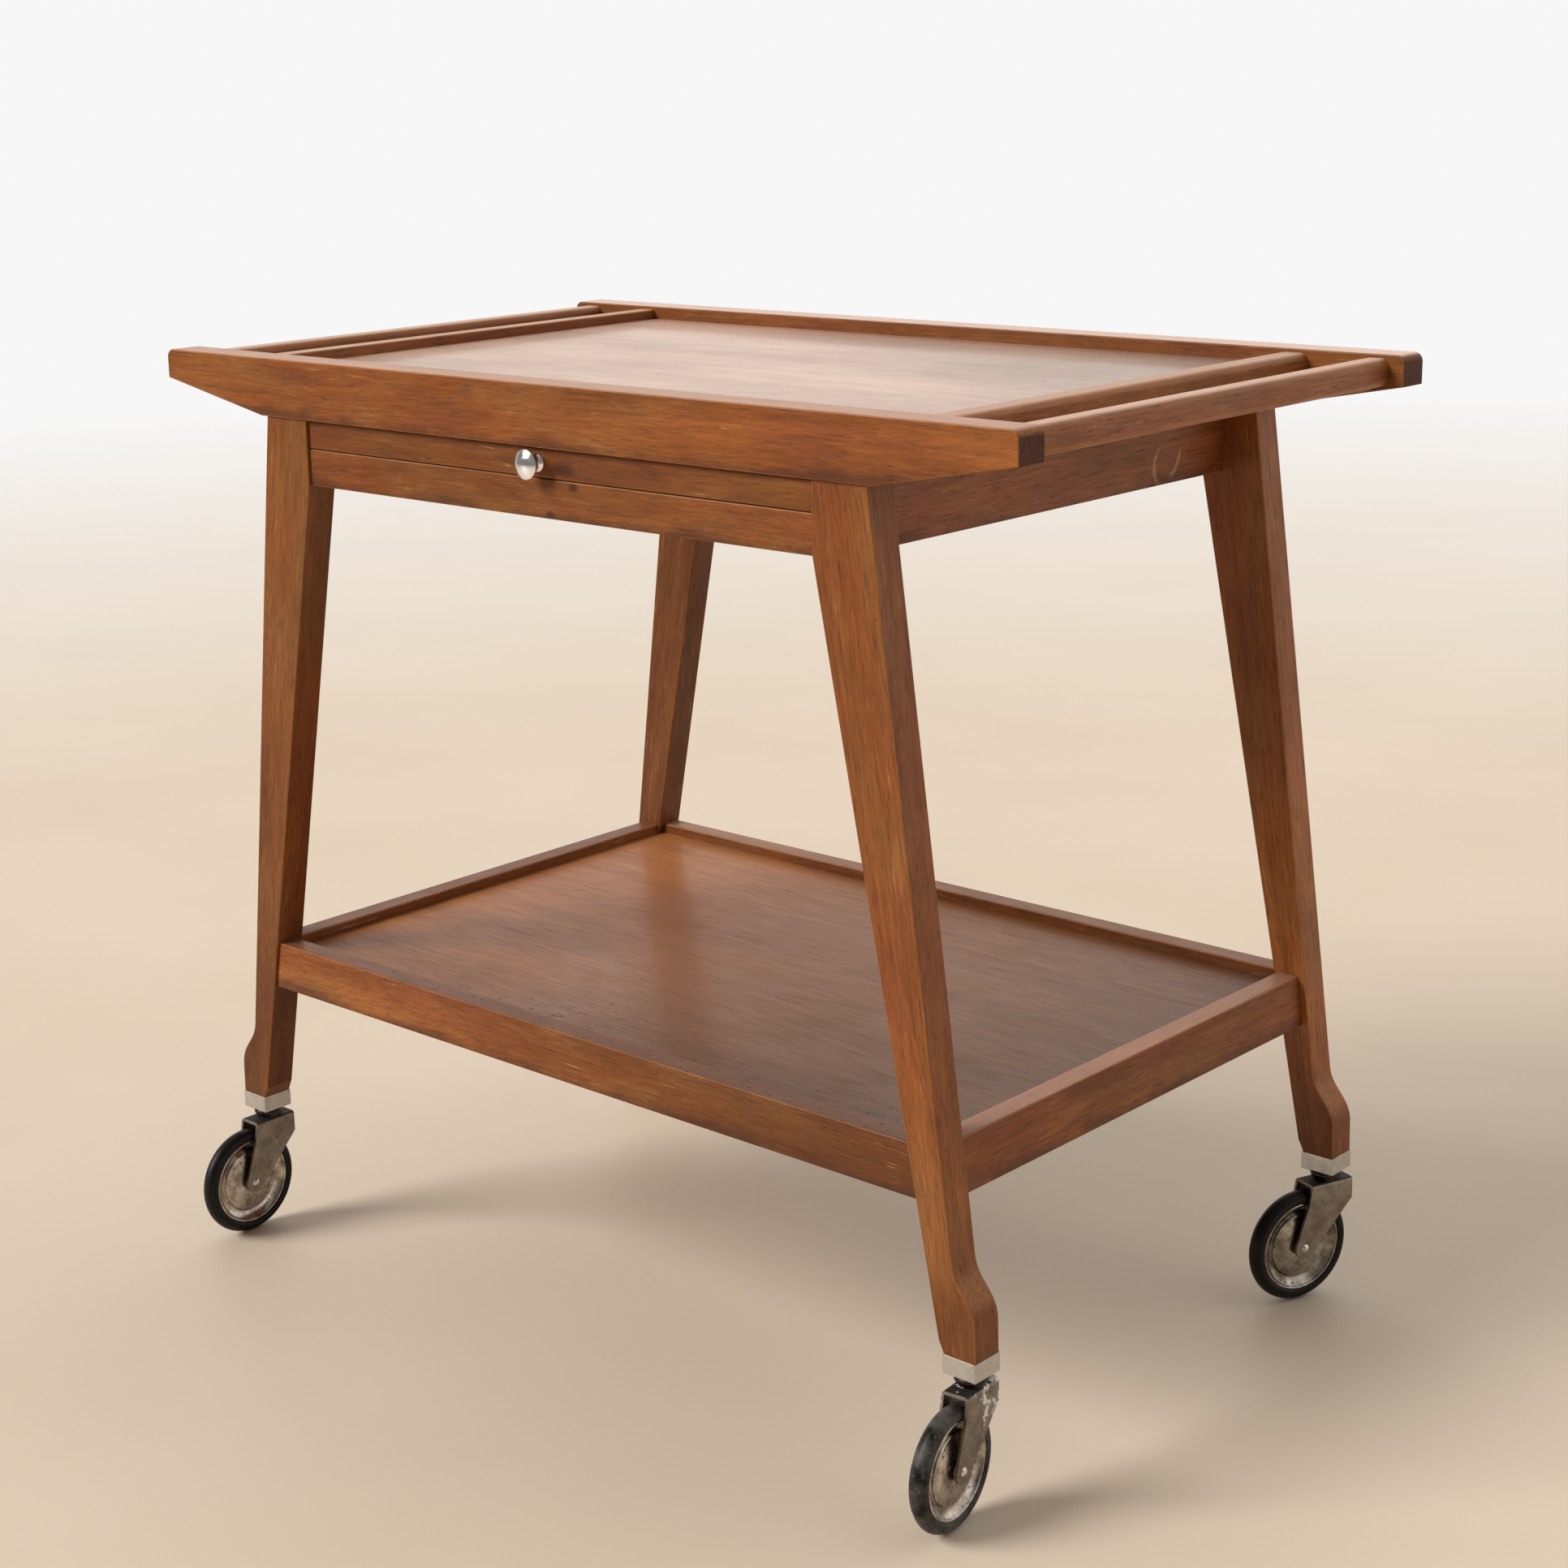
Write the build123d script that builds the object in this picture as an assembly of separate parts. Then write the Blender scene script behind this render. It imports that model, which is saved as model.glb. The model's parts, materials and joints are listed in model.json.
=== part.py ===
from build123d import *
import math
import os

# Bar cart on wheels: a teak tray on four splayed legs, with a handle bar at each
# end, a pull-out serving leaf under the front rail, a lower shelf and four castors.
#
# Frame: millimetres, +Z up. The origin is on the floor under the middle of the
# cart. +X runs along the cart's length, to its right end, and the front, with
# the serving leaf and its knob, faces -Y.

# ---------------------------------------------------------------- driving sizes
HEIGHT = 652.0                # floor to the top of the side rails
LENGTH = 740.0                # over the ends of the side rails
DEPTH = 426.0                 # over the outer faces of the side rails

# side rails: deep between the legs, bevelled underneath towards both ends
RAIL_THICK = 24.0
RAIL_DEEP = 39.5
RAIL_END_DEEP = 20.0
RAIL_BEVEL_X = 268.0          # the bevel starts here, just outside the legs
RAIL_END_ROUND = 6.0

# handle bar and tray end bar at each end
BAR_WIDE = 18.0
BAR_HIGH = 18.0
BAR_DROP = 2.5                # tops of the bars below the tops of the rails
BAR_ROUND = 5.5
HANDLE_X = 350.0              # middle of a handle bar
TRAY_BAR_X = 292.0            # middle of a tray end bar
TENON_DIAMETER = 11.0
TENON_LONG = 14.0

# tray panel, its tongues let into grooves in the rails and in the tray end bars
TRAY_DEEP = 9.5
PANEL_THICK = 8.0
PANEL_TONGUE = 5.0            # thickness of the tongues, level with the underside
GROOVE_DEEP = 6.0

# legs: flat boards, cut to a splayed and tapered outline with a swelling foot
LEG_THICK = 23.5
LEG_INSET = 2.0               # leg face behind the rail face
LEG_TOP_INNER_X = 223.8
LEG_TOP_OUTER_X = 264.4
LEG_OUTER_SPLAY = 0.132       # outward lean, mm per mm of drop
LEG_INNER_SPLAY = 0.198
FOOT_START_Z = 161.0          # the outer edge starts to swell outwards here
FOOT_SWELL_Z = 126.0
FOOT_SWELL_X = 341.0
FOOT_SHRINK = 0.4             # foot inside the ferrule's outline, on each side
FOOT_INNER_Z = 112.0

# apron frame under the tray
APRON_BOTTOM_Z = 568.0
APRON_THICK = 20.0
APRON_INSET = 2.5             # apron face behind the leg face
END_APRON_THICK = 16.0
LOWER_RAIL_TOP_Z = 592.6

# pull-out serving leaf, its knob and its runners
LEAF_GAP = 0.8                # joint line all round the leaf front
LEAF_FRONT_THICK = 18.0
LEAF_BOARD_THICK = 10.0
LEAF_BOARD_Z = 597.0          # underside of the board
LEAF_BACK_Y = 165.0
LEAF_TRAVEL = 230.0
LEAF_PLAY = 0.6               # clearance of the board in its runner grooves
LEAF_SOFT = 0.8               # softened edges of the leaf and of the aprons
RUNNER_WIDE = 16.0
RUNNER_BOTTOM_Z = 588.0
RUNNER_TOP_Z = 616.0
RUNNER_GROOVE = 9.0
RUNNER_HALF_LONG = 186.0
STOP_SIZE = (60.0, 20.0, 20.0)
STOP_CLEARANCE = 0.3
KNOB_DIAMETER = 19.0
KNOB_LONG = 14.0
KNOB_BASE_DIAMETER = 11.5
KNOB_NECK_DIAMETER = 7.0
KNOB_X = -1.5
KNOB_SCREW_DIAMETER = 4.0
KNOB_SCREW_LONG = 20.0
KNOB_SCREW_IN_FRONT = 13.0    # of which this much is inside the leaf front

# lower shelf
SHELF_TOP_Z = 229.0           # tops of the shelf rails
SHELF_RAIL_DEEP = 34.5
SHELF_RAIL_THICK = 16.0
SHELF_RAIL_INSET = 2.5        # shelf rail face behind the leg face
SHELF_END_X = 312.0           # outer face of an end rail at half its depth
SHELF_LIP = 7.5               # rail tops above the panel
SHELF_PANEL_THICK = 6.0
SHELF_PANEL_TONGUE = 4.0
SHELF_PANEL_PLAY = 0.6        # between the panel and the legs it is notched round

# castors
WHEEL_DIAMETER = 79.0
CASTOR_TRAIL = 22.9           # swivel axis to wheel axle
TYRE_WIDE = 12.0
TYRE_INNER_R = 31.6
TYRE_CROWN_R = 35.4           # the crown starts here, above the flat sides
SHEET = 1.2                   # sheet of the wheel pressings
RIM_LIP = 5.4                 # half width over the lips of the rim
COVE_R = 28.2                 # half way down the cove inside the lip
COVE = 2.6                    # half thickness there
WHEEL_WAIST_R = 24.4          # the two pressings are nearest each other here
WHEEL_WAIST = 1.3             # half thickness at the waist
WHEEL_DISH_R = 22.6           # edge of the dished middle
WHEEL_DISH = 2.5              # half thickness at the edge of the dish
DISH_MID_R = 14.0
DISH_MID = 4.1
HUB_R = 5.0
HUB_SHOULDER = 4.9            # half thickness of the dish at the hub
HUB_HALF_LONG = 6.8
FERRULE_SIDE = 24.4
FERRULE_HIGH = 12.2
FERRULE_BOTTOM_Z = 91.8
FERRULE_WALL = 1.2
FERRULE_FLOOR = 1.5
FERRULE_X = 329.7             # swivel axis of a right-hand castor
SOCKET_DIAMETER = 11.0
SOCKET_TOP_Z = 131.0
STEM_DIAMETER = 8.0
STEM_TOP_Z = 128.0
FORK_TOP_Z = 84.5
FORK_WIDE = 18.8
FORK_SHEET = 2.0
FORK_FRONT = 5.0              # front of the top plate behind the axle
FORK_LONG = 34.1              # length of the top plate
FORK_HEEL_HIGH = 29.8         # heel of an arm above the axle
FORK_WAIST = (2.5, 30.0)      # waist of an arm: behind and above the axle
FORK_BEND_R = 2.4
FORK_END_R = 7.7              # round end of the arms about the axle
AXLE_DIAMETER = 4.0
RIVET_HEAD_R = 3.0
RIVET_HEAD_HIGH = 1.6
NECK_R = 10.4
NECK_BASE_R = 8.2
NECK_GAP = 0.6                # between the neck and the ferrule
RUNNING_PLAY = 0.05           # radial clearance of every turning fit
# direction in which each wheel trails from its swivel, degrees from +X
CASTOR_ANGLES = {"front_left": 270.0, "front_right": 276.0, "back_right": 250.0, "back_left": 90.0}

EDGE_ROUND = 1.2              # softened edges of the woodwork
DOWEL_DIAMETER = 8.0
APRON_DOWEL_LONG = 32.0
APRON_DOWEL_IN_APRON = 18.0
LEG_DOWEL_LONG = 36.0
LEG_DOWEL_XS = (243.0, 256.0)          # up from the leg into the side rail
LONG_APRON_DOWEL_ZS = (574.5, 586.0)   # from the leg into the long apron or rail
END_APRON_DOWEL_ZS = (596.5, 605.5)    # from the leg into the end apron
SHELF_DOWEL_DIAMETER = 6.0
SHELF_DOWEL_IN_RAIL = 14.0
SHELF_DOWEL_DROPS = (2.0, 11.0)        # below the middle of the shelf rail
SHELF_END_DOWEL_HIGH = 12.0            # above the underside of the end rail

# screws
RUNNER_SCREW_YS = (-150.0, 0.0, 150.0)
RUNNER_SCREW_HIGH = 4.2                # above the underside of the runner
RUNNER_SCREW_DIAMETER = 4.0
STOP_SCREW_XS = (-18.0, 18.0)
STOP_SCREW_DIAMETER = 3.5
SCREW_LONG = 27.0

# ---------------------------------------------------------------- derived places
HALF_LONG = LENGTH / 2
RAIL_FACE_Y = DEPTH / 2
RAIL_BACK_Y = RAIL_FACE_Y - RAIL_THICK
RAIL_BOTTOM_Z = HEIGHT - RAIL_DEEP
BAR_TOP_Z = HEIGHT - BAR_DROP
BAR_MID_Z = BAR_TOP_Z - BAR_HIGH / 2
PANEL_TOP_Z = HEIGHT - TRAY_DEEP
PANEL_BOTTOM_Z = PANEL_TOP_Z - PANEL_THICK
TRAY_HALF_X = TRAY_BAR_X - BAR_WIDE / 2
PANEL_HALF_X = TRAY_HALF_X + GROOVE_DEEP
PANEL_HALF_Y = RAIL_BACK_Y + GROOVE_DEEP
PANEL_TONGUE_TOP_Z = PANEL_BOTTOM_Z + PANEL_TONGUE

LEG_FACE_Y = RAIL_FACE_Y - LEG_INSET
LEG_BACK_Y = LEG_FACE_Y - LEG_THICK
LEG_MID_Y = (LEG_FACE_Y + LEG_BACK_Y) / 2
APRON_FACE_Y = LEG_FACE_Y - APRON_INSET
APRON_BACK_Y = APRON_FACE_Y - APRON_THICK
END_APRON_X = LEG_TOP_INNER_X + END_APRON_THICK

FERRULE_TOP_Z = FERRULE_BOTTOM_Z + FERRULE_HIGH
FERRULE_FLOOR_Z = FERRULE_BOTTOM_Z + FERRULE_FLOOR
SPIGOT_SIDE = FERRULE_SIDE - 2 * FERRULE_WALL

SHELF_BOTTOM_Z = SHELF_TOP_Z - SHELF_RAIL_DEEP
SHELF_MID_Z = (SHELF_TOP_Z + SHELF_BOTTOM_Z) / 2
SHELF_FACE_Y = LEG_FACE_Y - SHELF_RAIL_INSET
SHELF_BACK_Y = SHELF_FACE_Y - SHELF_RAIL_THICK
SHELF_PANEL_TOP_Z = SHELF_TOP_Z - SHELF_LIP
SHELF_PANEL_BOTTOM_Z = SHELF_PANEL_TOP_Z - SHELF_PANEL_THICK
SHELF_TONGUE_TOP_Z = SHELF_PANEL_BOTTOM_Z + SHELF_PANEL_TONGUE
SHELF_INNER_X = SHELF_END_X - LEG_OUTER_SPLAY * SHELF_RAIL_DEEP / 2 - SHELF_RAIL_THICK

LEAF_FACE_Y = -APRON_FACE_Y
LEAF_FRONT_BACK_Y = LEAF_FACE_Y + LEAF_FRONT_THICK
LEAF_FRONT_BOTTOM_Z = LOWER_RAIL_TOP_Z + LEAF_GAP
LEAF_FRONT_TOP_Z = RAIL_BOTTOM_Z - LEAF_GAP
LEAF_MID_Z = (LEAF_FRONT_BOTTOM_Z + LEAF_FRONT_TOP_Z) / 2
LEAF_BOARD_TOP_Z = LEAF_BOARD_Z + LEAF_BOARD_THICK
RUNNER_INNER_X = LEG_TOP_INNER_X - RUNNER_WIDE
LEAF_BOARD_HALF_X = RUNNER_INNER_X + RUNNER_GROOVE - LEAF_GAP
STOP_FRONT_Y = -APRON_BACK_Y + LEAF_TRAVEL + STOP_CLEARANCE

WHEEL_R = WHEEL_DIAMETER / 2
AXLE_R = AXLE_DIAMETER / 2
STEM_R = STEM_DIAMETER / 2
HUB_BORE_R = AXLE_R + RUNNING_PLAY
TYRE_HALF = TYRE_WIDE / 2


def leg_outer_x(z):
    """Outer edge of a leg above its foot."""
    return LEG_TOP_OUTER_X + LEG_OUTER_SPLAY * (RAIL_BOTTOM_Z - z)


def leg_inner_x(z):
    """Inner edge of a leg below the apron."""
    return LEG_TOP_INNER_X + LEG_INNER_SPLAY * (APRON_BOTTOM_Z - z)


# ---------------------------------------------------------------- small helpers
def block(x_range, y_range, z_range):
    """A box between two values on each axis."""
    low = (x_range[0], y_range[0], z_range[0])
    high = (x_range[1], y_range[1], z_range[1])
    size = [b - a for a, b in zip(low, high)]
    middle = [(a + b) / 2 for a, b in zip(low, high)]
    return Pos(*middle) * Box(*size)


def soft_block(x_range, y_range, z_range, radius=EDGE_ROUND):
    """A box with all its edges softened."""
    piece = block(x_range, y_range, z_range)
    return fillet(piece.edges(), radius)


def rod(start, direction, length, diameter):
    """A round rod from a point, along a direction."""
    plane = Plane(origin=start, z_dir=direction)
    return extrude(plane * Circle(diameter / 2), length)


def prism_y(points, y_low, y_high):
    """An outline in XZ, extruded between two values of Y."""
    outline = make_face(Polyline(*[(x, y_low, z) for x, z in points], close=True))
    return extrude(outline, y_high - y_low, dir=(0, 1, 0))


def flip_x(piece):
    """The same piece at the other end of the cart."""
    return mirror(piece, Plane.YZ)


def flip_y(piece):
    """The same piece on the other long side of the cart."""
    return mirror(piece, Plane.XZ)


def edges_along(piece, axis):
    """The straight edges of a piece that run along an axis."""
    return piece.edges().filter_by(axis)


def dome_arc(edge_r, edge_z, top_z):
    """A round dome's outline, from its edge up to its top on the axis."""
    rise = top_z - edge_z
    radius = (edge_r**2 + rise**2) / (2 * rise)
    half_angle = math.asin(edge_r / radius) / 2
    middle = (radius * math.sin(half_angle), 0, top_z - radius * (1 - math.cos(half_angle)))
    return ThreePointArc((edge_r, 0, edge_z), middle, (0, 0, top_z))


def wood_screw(head, direction, length, diameter):
    """A slotted countersunk screw, from the middle of its head."""
    r = diameter / 2
    head_r = 1.9 * r
    profile = Polyline(
        (0, 0, 0), (head_r, 0, 0), (r, 0, head_r - r), (r, 0, length - 2 * r), (0, 0, length), close=True
    )
    screw = revolve(make_face(profile), Axis.Z)
    slot = Box(3 * head_r, 0.22 * diameter, 0.4 * r)
    screw = screw - slot
    return Plane(origin=head, z_dir=direction).location * screw


# ---------------------------------------------------------------- dowels
def corner_dowels():
    """Dowels of the back right corner of the apron frame."""
    dowels = []
    for x in LEG_DOWEL_XS:
        start = (x, LEG_MID_Y + 1, RAIL_BOTTOM_Z - LEG_DOWEL_LONG / 2)
        dowels.append(rod(start, (0, 0, 1), LEG_DOWEL_LONG, DOWEL_DIAMETER))
    for z in LONG_APRON_DOWEL_ZS:
        start = (LEG_TOP_INNER_X - APRON_DOWEL_IN_APRON, (APRON_FACE_Y + APRON_BACK_Y) / 2, z)
        dowels.append(rod(start, (1, 0, 0), APRON_DOWEL_LONG, DOWEL_DIAMETER))
    for z in END_APRON_DOWEL_ZS:
        start = (LEG_TOP_INNER_X + END_APRON_THICK / 2, LEG_BACK_Y - APRON_DOWEL_IN_APRON, z)
        dowels.append(rod(start, (0, 1, 0), APRON_DOWEL_LONG, DOWEL_DIAMETER))
    return dowels


def shelf_corner_dowels():
    """Dowels of the back right corner of the shelf."""
    dowels = []
    rail_mid_y = (SHELF_FACE_Y + SHELF_BACK_Y) / 2
    for drop in SHELF_DOWEL_DROPS:
        z = SHELF_MID_Z - drop
        start = (leg_inner_x(z) - SHELF_DOWEL_IN_RAIL, rail_mid_y, z)
        dowels.append(rod(start, (1, 0, 0), 24, SHELF_DOWEL_DIAMETER))
    end_mid_x = SHELF_END_X - SHELF_RAIL_THICK / 2
    start = (end_mid_x, LEG_BACK_Y - SHELF_DOWEL_IN_RAIL, SHELF_BOTTOM_Z + SHELF_END_DOWEL_HIGH)
    dowels.append(rod(start, (0, 1, 0), 23, SHELF_DOWEL_DIAMETER))
    return dowels


def four_corners(pieces):
    """Pieces of the back right corner, repeated at all four corners."""
    back = pieces + [flip_x(piece) for piece in pieces]
    return back + [flip_y(piece) for piece in back]


FRAME_DOWELS = four_corners(corner_dowels())
SHELF_DOWELS = four_corners(shelf_corner_dowels())


# ---------------------------------------------------------------- tray
def side_rail():
    """The back side rail, with its groove, mortises and dowel holes."""
    outline = [
        (-HALF_LONG, HEIGHT - RAIL_END_DEEP),
        (-HALF_LONG, HEIGHT),
        (HALF_LONG, HEIGHT),
        (HALF_LONG, HEIGHT - RAIL_END_DEEP),
        (RAIL_BEVEL_X, RAIL_BOTTOM_Z),
        (-RAIL_BEVEL_X, RAIL_BOTTOM_Z),
    ]
    rail = prism_y(outline, RAIL_BACK_Y, RAIL_FACE_Y)
    end_edges = edges_along(rail, Axis.Y)
    top_ends = end_edges.group_by(Axis.Z)[-1]
    rail = fillet(top_ends, RAIL_END_ROUND)
    outer_faces = rail.faces().filter_by(Axis.Y)
    long_edges = ShapeList([edge for face in outer_faces for edge in face.edges()])
    rail = fillet(long_edges, EDGE_ROUND)
    groove = block((-TRAY_HALF_X, TRAY_HALF_X), (0, PANEL_HALF_Y), (PANEL_BOTTOM_Z, PANEL_TONGUE_TOP_Z))
    rail = rail - groove
    for x in (-HANDLE_X, -TRAY_BAR_X, TRAY_BAR_X, HANDLE_X):
        start = (x, RAIL_BACK_Y, BAR_MID_Z)
        rail = rail - rod(start, (0, 1, 0), TENON_LONG, TENON_DIAMETER)
    return rail - FRAME_DOWELS


def end_bar(x):
    """A bar across the tray, with a round tenon at each end."""
    bar = block(
        (x - BAR_WIDE / 2, x + BAR_WIDE / 2), (-RAIL_BACK_Y, RAIL_BACK_Y), (BAR_TOP_Z - BAR_HIGH, BAR_TOP_Z)
    )
    bar = fillet(edges_along(bar, Axis.Y), BAR_ROUND)
    tenon_start = (x, -RAIL_BACK_Y - TENON_LONG, BAR_MID_Z)
    return bar + rod(tenon_start, (0, 1, 0), 2 * (RAIL_BACK_Y + TENON_LONG), TENON_DIAMETER)


def tray_end_bar():
    """The right tray end bar: square to the tray, rounded towards the finger slot."""
    outer_x = TRAY_BAR_X + BAR_WIDE / 2
    bar = block((TRAY_HALF_X, outer_x), (-RAIL_BACK_Y, RAIL_BACK_Y), (BAR_TOP_Z - BAR_HIGH, BAR_TOP_Z))
    long_edges = edges_along(bar, Axis.Y).sort_by(Axis.X)
    bar = fillet(long_edges[2:], BAR_ROUND)
    tray_edges = edges_along(bar, Axis.Y).group_by(Axis.X)[0]
    bar = fillet(tray_edges, EDGE_ROUND)
    tenon_start = (TRAY_BAR_X, -RAIL_BACK_Y - TENON_LONG, BAR_MID_Z)
    bar = bar + rod(tenon_start, (0, 1, 0), 2 * (RAIL_BACK_Y + TENON_LONG), TENON_DIAMETER)
    groove = block((0, PANEL_HALF_X), (-RAIL_BACK_Y, RAIL_BACK_Y), (PANEL_BOTTOM_Z, PANEL_TONGUE_TOP_Z))
    return bar - groove


def top_panel():
    """The tray's panel, with a tongue into each rail and each end bar."""
    long_way = (-TRAY_HALF_X, TRAY_HALF_X)
    short_way = (-RAIL_BACK_Y, RAIL_BACK_Y)
    tongue = (PANEL_BOTTOM_Z, PANEL_TONGUE_TOP_Z)
    field = block(long_way, short_way, (PANEL_BOTTOM_Z, PANEL_TOP_Z))
    along = block(long_way, (-PANEL_HALF_Y, PANEL_HALF_Y), tongue)
    across = block((-PANEL_HALF_X, PANEL_HALF_X), short_way, tongue)
    return field + along + across


# ---------------------------------------------------------------- legs and aprons
def leg():
    """The back right leg: splayed, tapered, and swelling outwards at the foot."""
    top = RAIL_BOTTOM_Z
    spigot_low = FERRULE_X - SPIGOT_SIDE / 2
    spigot_high = FERRULE_X + SPIGOT_SIDE / 2
    foot_inner = FERRULE_X - FERRULE_SIDE / 2 + FOOT_SHRINK
    foot_outer = FERRULE_X + FERRULE_SIDE / 2 - FOOT_SHRINK
    straight = Polyline(
        (FOOT_SWELL_X, 0, FOOT_SWELL_Z),
        (foot_outer, 0, FERRULE_TOP_Z),
        (foot_inner, 0, FERRULE_TOP_Z),
        (leg_inner_x(FOOT_INNER_Z), 0, FOOT_INNER_Z),
        (LEG_TOP_INNER_X, 0, APRON_BOTTOM_Z),
        (LEG_TOP_INNER_X, 0, top),
        (LEG_TOP_OUTER_X, 0, top),
        (leg_outer_x(FOOT_START_Z), 0, FOOT_START_Z),
    )
    swell = Spline(
        (leg_outer_x(FOOT_START_Z), 0, FOOT_START_Z),
        (FOOT_SWELL_X, 0, FOOT_SWELL_Z),
        tangents=((LEG_OUTER_SPLAY, 0, -1), (0.05, 0, -1)),
    )
    outline = make_face(straight + swell)
    body = extrude(Pos(0, LEG_BACK_Y, 0) * outline, LEG_THICK, dir=(0, 1, 0))
    sides = body.faces().filter_by(Axis.Y)
    long_edges = ShapeList(
        [edge for face in sides for edge in face.edges() if FERRULE_TOP_Z + 1 < edge.center().Z < top - 1]
    )
    body = fillet(long_edges, EDGE_ROUND)
    half = SPIGOT_SIDE / 2
    spigot = block(
        (spigot_low, spigot_high), (LEG_MID_Y - half, LEG_MID_Y + half), (FERRULE_FLOOR_Z, FERRULE_TOP_Z + 1)
    )
    body = body + spigot
    socket_long = SOCKET_TOP_Z - FERRULE_FLOOR_Z
    body = body - rod((FERRULE_X, LEG_MID_Y, FERRULE_FLOOR_Z), (0, 0, 1), socket_long, SOCKET_DIAMETER)
    return body - FRAME_DOWELS - SHELF_DOWELS


def front_lower_rail():
    """The rail under the serving leaf."""
    rail = soft_block(
        (-LEG_TOP_INNER_X, LEG_TOP_INNER_X),
        (-APRON_FACE_Y, -APRON_BACK_Y),
        (APRON_BOTTOM_Z, LOWER_RAIL_TOP_Z),
        LEAF_SOFT,
    )
    return rail - FRAME_DOWELS


def back_apron():
    """The full-height apron between the back legs."""
    apron = soft_block(
        (-LEG_TOP_INNER_X, LEG_TOP_INNER_X),
        (APRON_BACK_Y, APRON_FACE_Y),
        (APRON_BOTTOM_Z, RAIL_BOTTOM_Z),
        LEAF_SOFT,
    )
    return apron - FRAME_DOWELS


def end_apron():
    """The right end apron, from leg to leg and up to the tray panel."""
    apron = soft_block(
        (LEG_TOP_INNER_X, END_APRON_X), (-LEG_BACK_Y, LEG_BACK_Y), (APRON_BOTTOM_Z, PANEL_BOTTOM_Z), LEAF_SOFT
    )
    return apron - FRAME_DOWELS - RIGHT_RUNNER_SCREWS


# ---------------------------------------------------------------- serving leaf
def runner_screws():
    """The three screws that hold the right runner to its apron."""
    screws = []
    for y in RUNNER_SCREW_YS:
        head = (RUNNER_INNER_X, y, RUNNER_BOTTOM_Z + RUNNER_SCREW_HIGH)
        screws.append(wood_screw(head, (1, 0, 0), SCREW_LONG, RUNNER_SCREW_DIAMETER))
    return screws


RIGHT_RUNNER_SCREWS = runner_screws()


def leaf_runner():
    """The right runner: a strip with a groove for the edge of the leaf."""
    runner = soft_block(
        (RUNNER_INNER_X, LEG_TOP_INNER_X),
        (-RUNNER_HALF_LONG, RUNNER_HALF_LONG),
        (RUNNER_BOTTOM_Z, RUNNER_TOP_Z),
        0.5,
    )
    groove = block(
        (0, RUNNER_INNER_X + RUNNER_GROOVE),
        (-RUNNER_HALF_LONG, RUNNER_HALF_LONG),
        (LEAF_BOARD_Z - LEAF_PLAY, LEAF_BOARD_TOP_Z + LEAF_PLAY),
    )
    return runner - groove - RIGHT_RUNNER_SCREWS


def leaf_board():
    """The sliding board of the serving leaf."""
    board = block(
        (-LEAF_BOARD_HALF_X, LEAF_BOARD_HALF_X),
        (LEAF_FRONT_BACK_Y, LEAF_BACK_Y),
        (LEAF_BOARD_Z, LEAF_BOARD_TOP_Z),
    )
    back_edges = edges_along(board, Axis.X).group_by(Axis.Y)[-1]
    board = fillet(back_edges, EDGE_ROUND)
    return board - STOP_SCREWS


def leaf_front():
    """The front lipping of the leaf, drilled for the knob's screw."""
    half = LEG_TOP_INNER_X - LEAF_GAP
    front = soft_block(
        (-half, half),
        (LEAF_FACE_Y, LEAF_FRONT_BACK_Y),
        (LEAF_FRONT_BOTTOM_Z, LEAF_FRONT_TOP_Z),
        LEAF_SOFT,
    )
    return front - knob_screw()


def leaf_stop():
    """The block under the leaf that stops it against the front lower rail."""
    wide, deep, high = STOP_SIZE
    stop = soft_block(
        (-wide / 2, wide / 2),
        (STOP_FRONT_Y, STOP_FRONT_Y + deep),
        (LEAF_BOARD_Z - high, LEAF_BOARD_Z),
        LEAF_SOFT,
    )
    return stop - STOP_SCREWS


def stop_screws():
    """The two screws up through the stop into the board."""
    screws = []
    for x in STOP_SCREW_XS:
        head = (x, STOP_FRONT_Y + STOP_SIZE[1] / 2, LEAF_BOARD_Z - STOP_SIZE[2])
        screws.append(wood_screw(head, (0, 0, 1), SCREW_LONG, STOP_SCREW_DIAMETER))
    return screws


STOP_SCREWS = stop_screws()


def knob_screw():
    """The double-ended screw between the knob and the leaf front."""
    start = (KNOB_X, LEAF_FACE_Y + KNOB_SCREW_IN_FRONT, LEAF_MID_Z)
    return rod(start, (0, -1, 0), KNOB_SCREW_LONG, KNOB_SCREW_DIAMETER)


def leaf_knob():
    """The mushroom knob: base flange, waisted neck and shallow domed head."""
    head_r = KNOB_DIAMETER / 2
    base_r = KNOB_BASE_DIAMETER / 2
    neck_r = KNOB_NECK_DIAMETER / 2
    rim_z = KNOB_LONG - 3.6
    outline = (
        Line((0, 0, 0), (base_r - 0.4, 0, 0))
        + ThreePointArc((base_r - 0.4, 0, 0), (base_r, 0, 0.9), (base_r - 0.6, 0, 1.9))
        + Line((base_r - 0.6, 0, 1.9), (neck_r + 1.0, 0, 2.4))
        + ThreePointArc((neck_r + 1.0, 0, 2.4), (neck_r, 0, 5.2), (neck_r + 1.8, 0, 8.2))
        + Line((neck_r + 1.8, 0, 8.2), (head_r - 0.8, 0, rim_z))
        + ThreePointArc((head_r - 0.8, 0, rim_z), (head_r, 0, rim_z + 0.8), (head_r - 0.7, 0, rim_z + 1.6))
        + dome_arc(head_r - 0.7, rim_z + 1.6, KNOB_LONG)
        + Line((0, 0, KNOB_LONG), (0, 0, 0))
    )
    knob = revolve(make_face(outline), Axis.Z)
    placed = Plane(origin=(KNOB_X, LEAF_FACE_Y, LEAF_MID_Z), z_dir=(0, -1, 0)).location * knob
    return placed - knob_screw()


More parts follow.
